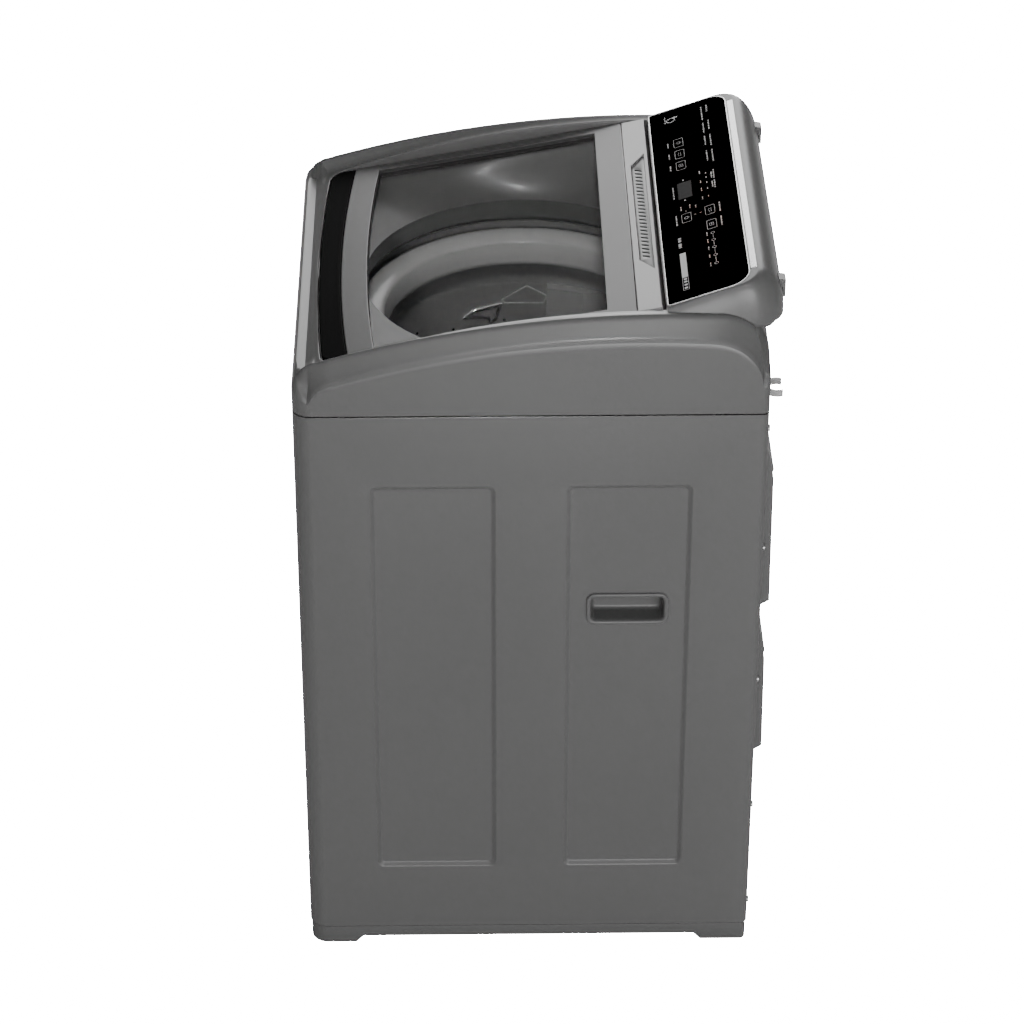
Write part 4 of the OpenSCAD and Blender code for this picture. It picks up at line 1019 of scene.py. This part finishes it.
# Lid: frame, window, handle bar, rear plate and vent
def buildLidFrame():
    bm = bmesh.new()
    sideX = lid["half"] - 4.2 * 28.8 / 399
    front = bowLine(lid["handleBack"] + 0.3, lid["half"] - 4.05, 24)
    outer = [(sideX, lid["seam"] - 0.3)] + front + [(-sideX, lid["seam"] - 0.3)]
    plate(bm, onLid, outer, [windowOutline(0.0)], -lid["edge"], 0.0, 0.9)
    return bm


addPiece("lidFrame", buildLidFrame(), "lid", materials["lidPlastic"], ("lid_frame",), sharp=50)

bm = bmesh.new()
plate(bm, onLid, windowOutline(4.5), [], -5.4, -1.4, 0.3)
addPiece("lidWindow", bm, "lid", glass, ("lid_window",), sharp=50)


def buildLidHandle():
    bm = bmesh.new()
    back = bowLine(lid["handleBack"], lid["half"] - 4.05, 24)
    fronts = [p for p in lidOutline(0.0) if p[1] < -366.0]
    outer = fronts + [(x, y) for x, y in reversed(back)]
    plate(bm, onLid, outer, [], -lid["edge"], 0.0, 1.6, steps=4)
    return bm


addPiece("lidHandle", buildLidHandle(), "lid", materials["handleBlack"], ("lid_handle",),
         sharp=50)


def ventOutline(grow):
    return [(-118 - grow, -20.5 - grow), (118 + grow, -20.5 - grow), (144 + grow, -5 + grow),
            (-144 - grow, -5 + grow)]


bm = bmesh.new()
rearHalf = lid["half"]
plateLine = [(rearHalf, 0.0), (-rearHalf, 0.0), (0.3 - rearHalf, lid["seam"]), (rearHalf - 0.3, lid["seam"])]
plate(bm, onLid, plateLine, [ventOutline(0.6)], -lid["edge"], 0.0, 0.7)
boss = {"low": 218.0, "high": 234.0, "radius": 7.0, "bore": 4.05, "at": (-10.64, -8.11)}
for way in (-1, 1):
    rows = []
    for x, r in ((boss["low"], boss["bore"]), (boss["low"], boss["radius"]), (boss["high"], boss["radius"]),
                 (boss["high"], boss["bore"]), (boss["low"], boss["bore"])):
        circle = arcPoints(boss["at"][0], boss["at"][1], r, 0, 360, 40)[:-1]
        rows.append([onLid(way * x, y, z) for y, z in circle])
    skin(bm, rows)
addPiece("lidRearPlate", bm, "lid", materials["platePlastic"], ("lid_rear_plate",), sharp=50)

vent = {"pitch": 9.0, "count": 12}
bm = bmesh.new()
slots = []
for index in range(-vent["count"], vent["count"] + 1):
    x = index * vent["pitch"]
    slots.append([(x - 3.6, -17.4), (x - 0.6, -17.4), (x + 2.4, -12.6), (x + 4.6, -8.8), (x + 2.0, -8.8),
                  (x - 0.6, -12.6)])
plate(bm, onLid, ventOutline(0.3), slots, -5.0, -2.6, 0.3, steps=2, support=0)
addPiece("ventGrille", bm, "lid", materials["deckPlastic"], ("vent_grille",), sharp=50)
print("stage: lid")

# Basket: drum, its mouldings, and the balance ring
basket = {"radius": 202.0, "wall": 1.2, "floor": 250.0}
tubCentre = shape["tubCentre"]
bm = bmesh.new()
r = basket["radius"]
turned(bm, [(r - 1.2, basket["floor"]), (r - 1.2, 560), (r - 1.2, 686.5), (r - 1.0, 688.5), (r - 0.5, 690.0),
            (r - 0.4, 691.0), (r - 0.4, 729.0), (r - 8.0, 729.8), (r - 8.0, 731.0), (r, 731.0),
            (r, basket["floor"]), (r - 1.2, basket["floor"])], tubCentre)
addPiece("basketDrum", bm, "basket", materials["drumSteel"], ("basket_drum",), sharp=35)

bm = bmesh.new()
turned(bm, [(200.0, 731.2), (180.0, 731.2), (173.0, 732.0), (169.2, 734.2), (167.4, 737.6), (167.0, 741.5),
            (168.4, 752.0), (169.6, 762.6), (170.1, 764.2), (171.0, 765.4), (172.6, 766.4), (178.0, 768.6),
            (184.0, 770.4), (190.0, 771.0), (195.0, 771.0), (200.0, 769.2), (203.2, 765.4), (204.0, 761.0),
            (204.0, 736.0), (203.0, 733.0), (200.0, 731.2)], tubCentre, 160)
addPiece("balanceRing", bm, "basket", materials["ringPlastic"], ("balance_ring",), sharp=35)


def onDrum(u, v, w):
    reach = basket["radius"] - 1.25 - w
    angle = u / (basket["radius"] - basket["wall"])
    return Vector((-reach * math.cos(angle), tubCentre[1] + reach * math.sin(angle), v))


mouldings = {
    "pocket": ((-21.5, 660.5), (-25.5, 666.0), (7.0, 685.0), (32.5, 672.0), (28.0, 661.0)),
    "latch": ((-78.0, 646.6), (-64.0, 656.0), (-25.0, 662.0), (-31.0, 639.0), (-41.0, 630.0), (-45.0, 640.0)),
    "holes": ((60, 672), (-186, 676), (-145, 645), (-90, 633), (-22, 636), (120, 655), (-120, 600),
              (20, 610)),
}
bm = bmesh.new()
pocket = list(mouldings["pocket"])
plate(bm, onDrum, inset(pocket, -0.6), [inset(pocket, 0.9)], -0.1, 0.9, 0.4, steps=2, support=0)
addPiece("drumPocketRim", bm, "basket", materials["ringPlastic"], (), sharp=40)
bm = bmesh.new()
latch = list(mouldings["latch"])
plate(bm, onDrum, latch, [inset(latch, 4.5)], -0.1, 3.0, 1.2, steps=3, support=0)
addPiece("drumLatch", bm, "basket", materials["polished"], (), sharp=40)
# Perforations as flat black discs: painted shade standing in for the dark seen through the holes
bm = bmesh.new()
for u, v in mouldings["holes"]:
    plate(bm, onDrum, arcPoints(u, v, 1.8, 0, 360, 16)[:-1], [], -0.2, 0.08, 0.03, steps=1, support=0)
addPiece("drumHoleShade", bm, "basket", materials["blackPlastic"], (), sharp=40)
print("stage: basket")

# Springs: straight coils at the four corners, between the cabinet's rods and the tub's lugs
spring = {"radius": 13.0, "wire": 2.0, "turns": 5, "low": 246.3, "high": 329.7, "perTurn": 20}
bm = bmesh.new()
for sx in (-1, 1):
    for sy in (-1, 1):
        rows = []
        count = spring["turns"] * spring["perTurn"]
        for step in range(count + 1):
            turn = math.tau * step / spring["perTurn"]
            z = mix(spring["low"] + 2, spring["high"] - 2, step / count)
            row = []
            for side in range(8):
                a = math.tau * side / 8
                reach = spring["radius"] + spring["wire"] * math.cos(a)
                row.append(Vector((sx * 240 + reach * math.cos(turn), sy * 238 - 12 + reach * math.sin(turn),
                                   z + spring["wire"] * math.sin(a))))
            rows.append(row)
        chains = skin(bm, rows)
        capOf(bm, chains[0])
        capOf(bm, chains[-1])
springs = addPiece("suspensionCoils", bm, None, materials["springSteel"], (), sharp=60)
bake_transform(springs)
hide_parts("suspension_springs")
print("stage: springs")

# Packed parts that keep their own shape take these materials
kept = {
    "rear_panel": "cabinetPaint", "corner_brackets": "zincSteel", "hose_hooks": "deckPlastic",
    "hose_clip": "clipPlastic", "inlet_valve": "lightPlastic", "water_inlet_box": "lightPlastic",
    "drain_outlet": "blackPlastic", "cable_gland": "blackPlastic", "control_board": "boardGreen",
    "pressure_switch": "lightPlastic", "lid_switch": "blackPlastic", "hinge_pins": "zincSteel",
    "suspension_rods": "zincSteel", "cabinet_screws": "zincSteel", "rear_feet": "rubber",
    "foot_front_left": "rubber", "foot_front_right": "rubber", "outer_tub": "tubPlastic",
    "tub_top_ring": "tubPlastic", "upper_bearing": "zincSteel", "lower_bearing": "zincSteel",
    "shaft_seal": "rubber", "gearcase_housing": "castAluminium", "motor_bracket": "zincSteel",
    "motor_housing": "castAluminium", "drive_belt": "rubber", "drain_valve": "lightPlastic",
    "basket_hub": "ringPlastic", "spin_tube": "zincSteel", "lint_filter": "lightPlastic",
    "impeller": "ringPlastic", "impeller_cap": "lidPlastic", "drive_shaft": "zincSteel",
    "drive_pulley": "castAluminium", "motor_shaft": "zincSteel", "motor_pulley": "castAluminium",
}
for name, look in kept.items():
    nodes[name].data.materials.clear()
    nodes[name].data.materials.append(materials[look])

# Floor, light and camera
floorMaterial = buildMaterial("paleFloor", {"colour": grey(0.8), "rough": 0.8, "amount": 0.02, "scale": 40.0})
floorTree = floorMaterial.node_tree
floorShader = floorTree.nodes["Principled BSDF"]
seen = floorTree.nodes.new("ShaderNodeLightPath")
glow = mathNode(floorTree, "MULTIPLY", seen.outputs["Is Camera Ray"], 40.0)
floorShader.inputs["Emission Color"].default_value = grey(1.0)
floorTree.links.new(glow, floorShader.inputs["Emission Strength"])
bm = bmesh.new()
bmesh.ops.create_grid(bm, x_segments=1, y_segments=1, size=30000.0)
floor = addPiece("floor", bm, None, floorMaterial)

surround = {"seen": 40.0, "fill": 0.22}
world = bpy.data.worlds.new("studio")
bpy.context.scene.world = world
world.use_nodes = True
worldTree = world.node_tree
background = worldTree.nodes["Background"]
lookAt = worldTree.nodes.new("ShaderNodeLightPath")
backdrop = mathNode(worldTree, "MULTIPLY", lookAt.outputs["Is Camera Ray"], surround["seen"])
strength = mathNode(worldTree, "ADD", backdrop, surround["fill"])
background.inputs["Color"].default_value = grey(1.0)
worldTree.links.new(strength, background.inputs["Strength"])

studio = {
    "right": {"at": (4.2, 0.9, 0.7), "to": (0.0, 0.0, 0.5), "size": 2.5, "power": 155.0},
    "front": {"at": (3.3, -0.6, 3.0), "to": (0.0, 0.0, 0.7), "size": 1.2, "power": 6.0},
    "far": {"at": (-3.6, 0.4, 2.2), "to": (0.0, 0.0, 0.8), "size": 2.6, "power": 105.0},
}


def hangLamp(name, kind, light):
    lamp = bpy.data.lights.new(name, kind)
    lamp.energy = light["power"]
    holder = bpy.data.objects.new(name, lamp)
    holder.location = light["at"]
    aim = Vector(light["to"]) - Vector(light["at"])
    holder.rotation_euler = aim.to_track_quat("-Z", "Y").to_euler()
    bpy.context.scene.collection.objects.link(holder)
    return lamp


for name, light in studio.items():
    hangLamp(name, "AREA", light).size = light["size"]

# A narrow beam down into the basket
beam = {
    "at": (1.9, -0.05, 2.9), "to": (-0.15, -0.02, 0.76), "angle": 6.0, "soft": 0.9, "radius": 0.35,
    "power": 1000.0,
}
lamp = hangLamp("beam", "SPOT", beam)
lamp.spot_size = math.radians(beam["angle"])
lamp.spot_blend = beam["soft"]
lamp.shadow_soft_size = beam["radius"]

view = {"at": (3.8371, -0.0888, 2.9488), "yaw": 0.923, "pitch": 32.838, "roll": 0.062, "lens": 127.7}
yaw, pitch, roll = (math.radians(view[key]) for key in ("yaw", "pitch", "roll"))
ahead = Vector((-math.cos(yaw) * math.cos(pitch), math.sin(yaw) * math.cos(pitch), -math.sin(pitch)))
right = ahead.cross(Vector((0, 0, 1))).normalized()
up = right.cross(ahead)
turnedRight = right * math.cos(roll) + up * math.sin(roll)
turnedUp = up * math.cos(roll) - right * math.sin(roll)
camera = bpy.data.objects.new("camera", bpy.data.cameras.new("camera"))
bpy.context.scene.collection.objects.link(camera)
camera.matrix_world = Matrix((
    (turnedRight.x, turnedUp.x, -ahead.x, view["at"][0]),
    (turnedRight.y, turnedUp.y, -ahead.y, view["at"][1]),
    (turnedRight.z, turnedUp.z, -ahead.z, view["at"][2]),
    (0, 0, 0, 1)))
camera.data.lens = view["lens"]
camera.data.sensor_width = 36.0
camera.data.clip_start = 0.1
camera.data.clip_end = 100.0
bpy.context.scene.camera = camera

print("stage: done")
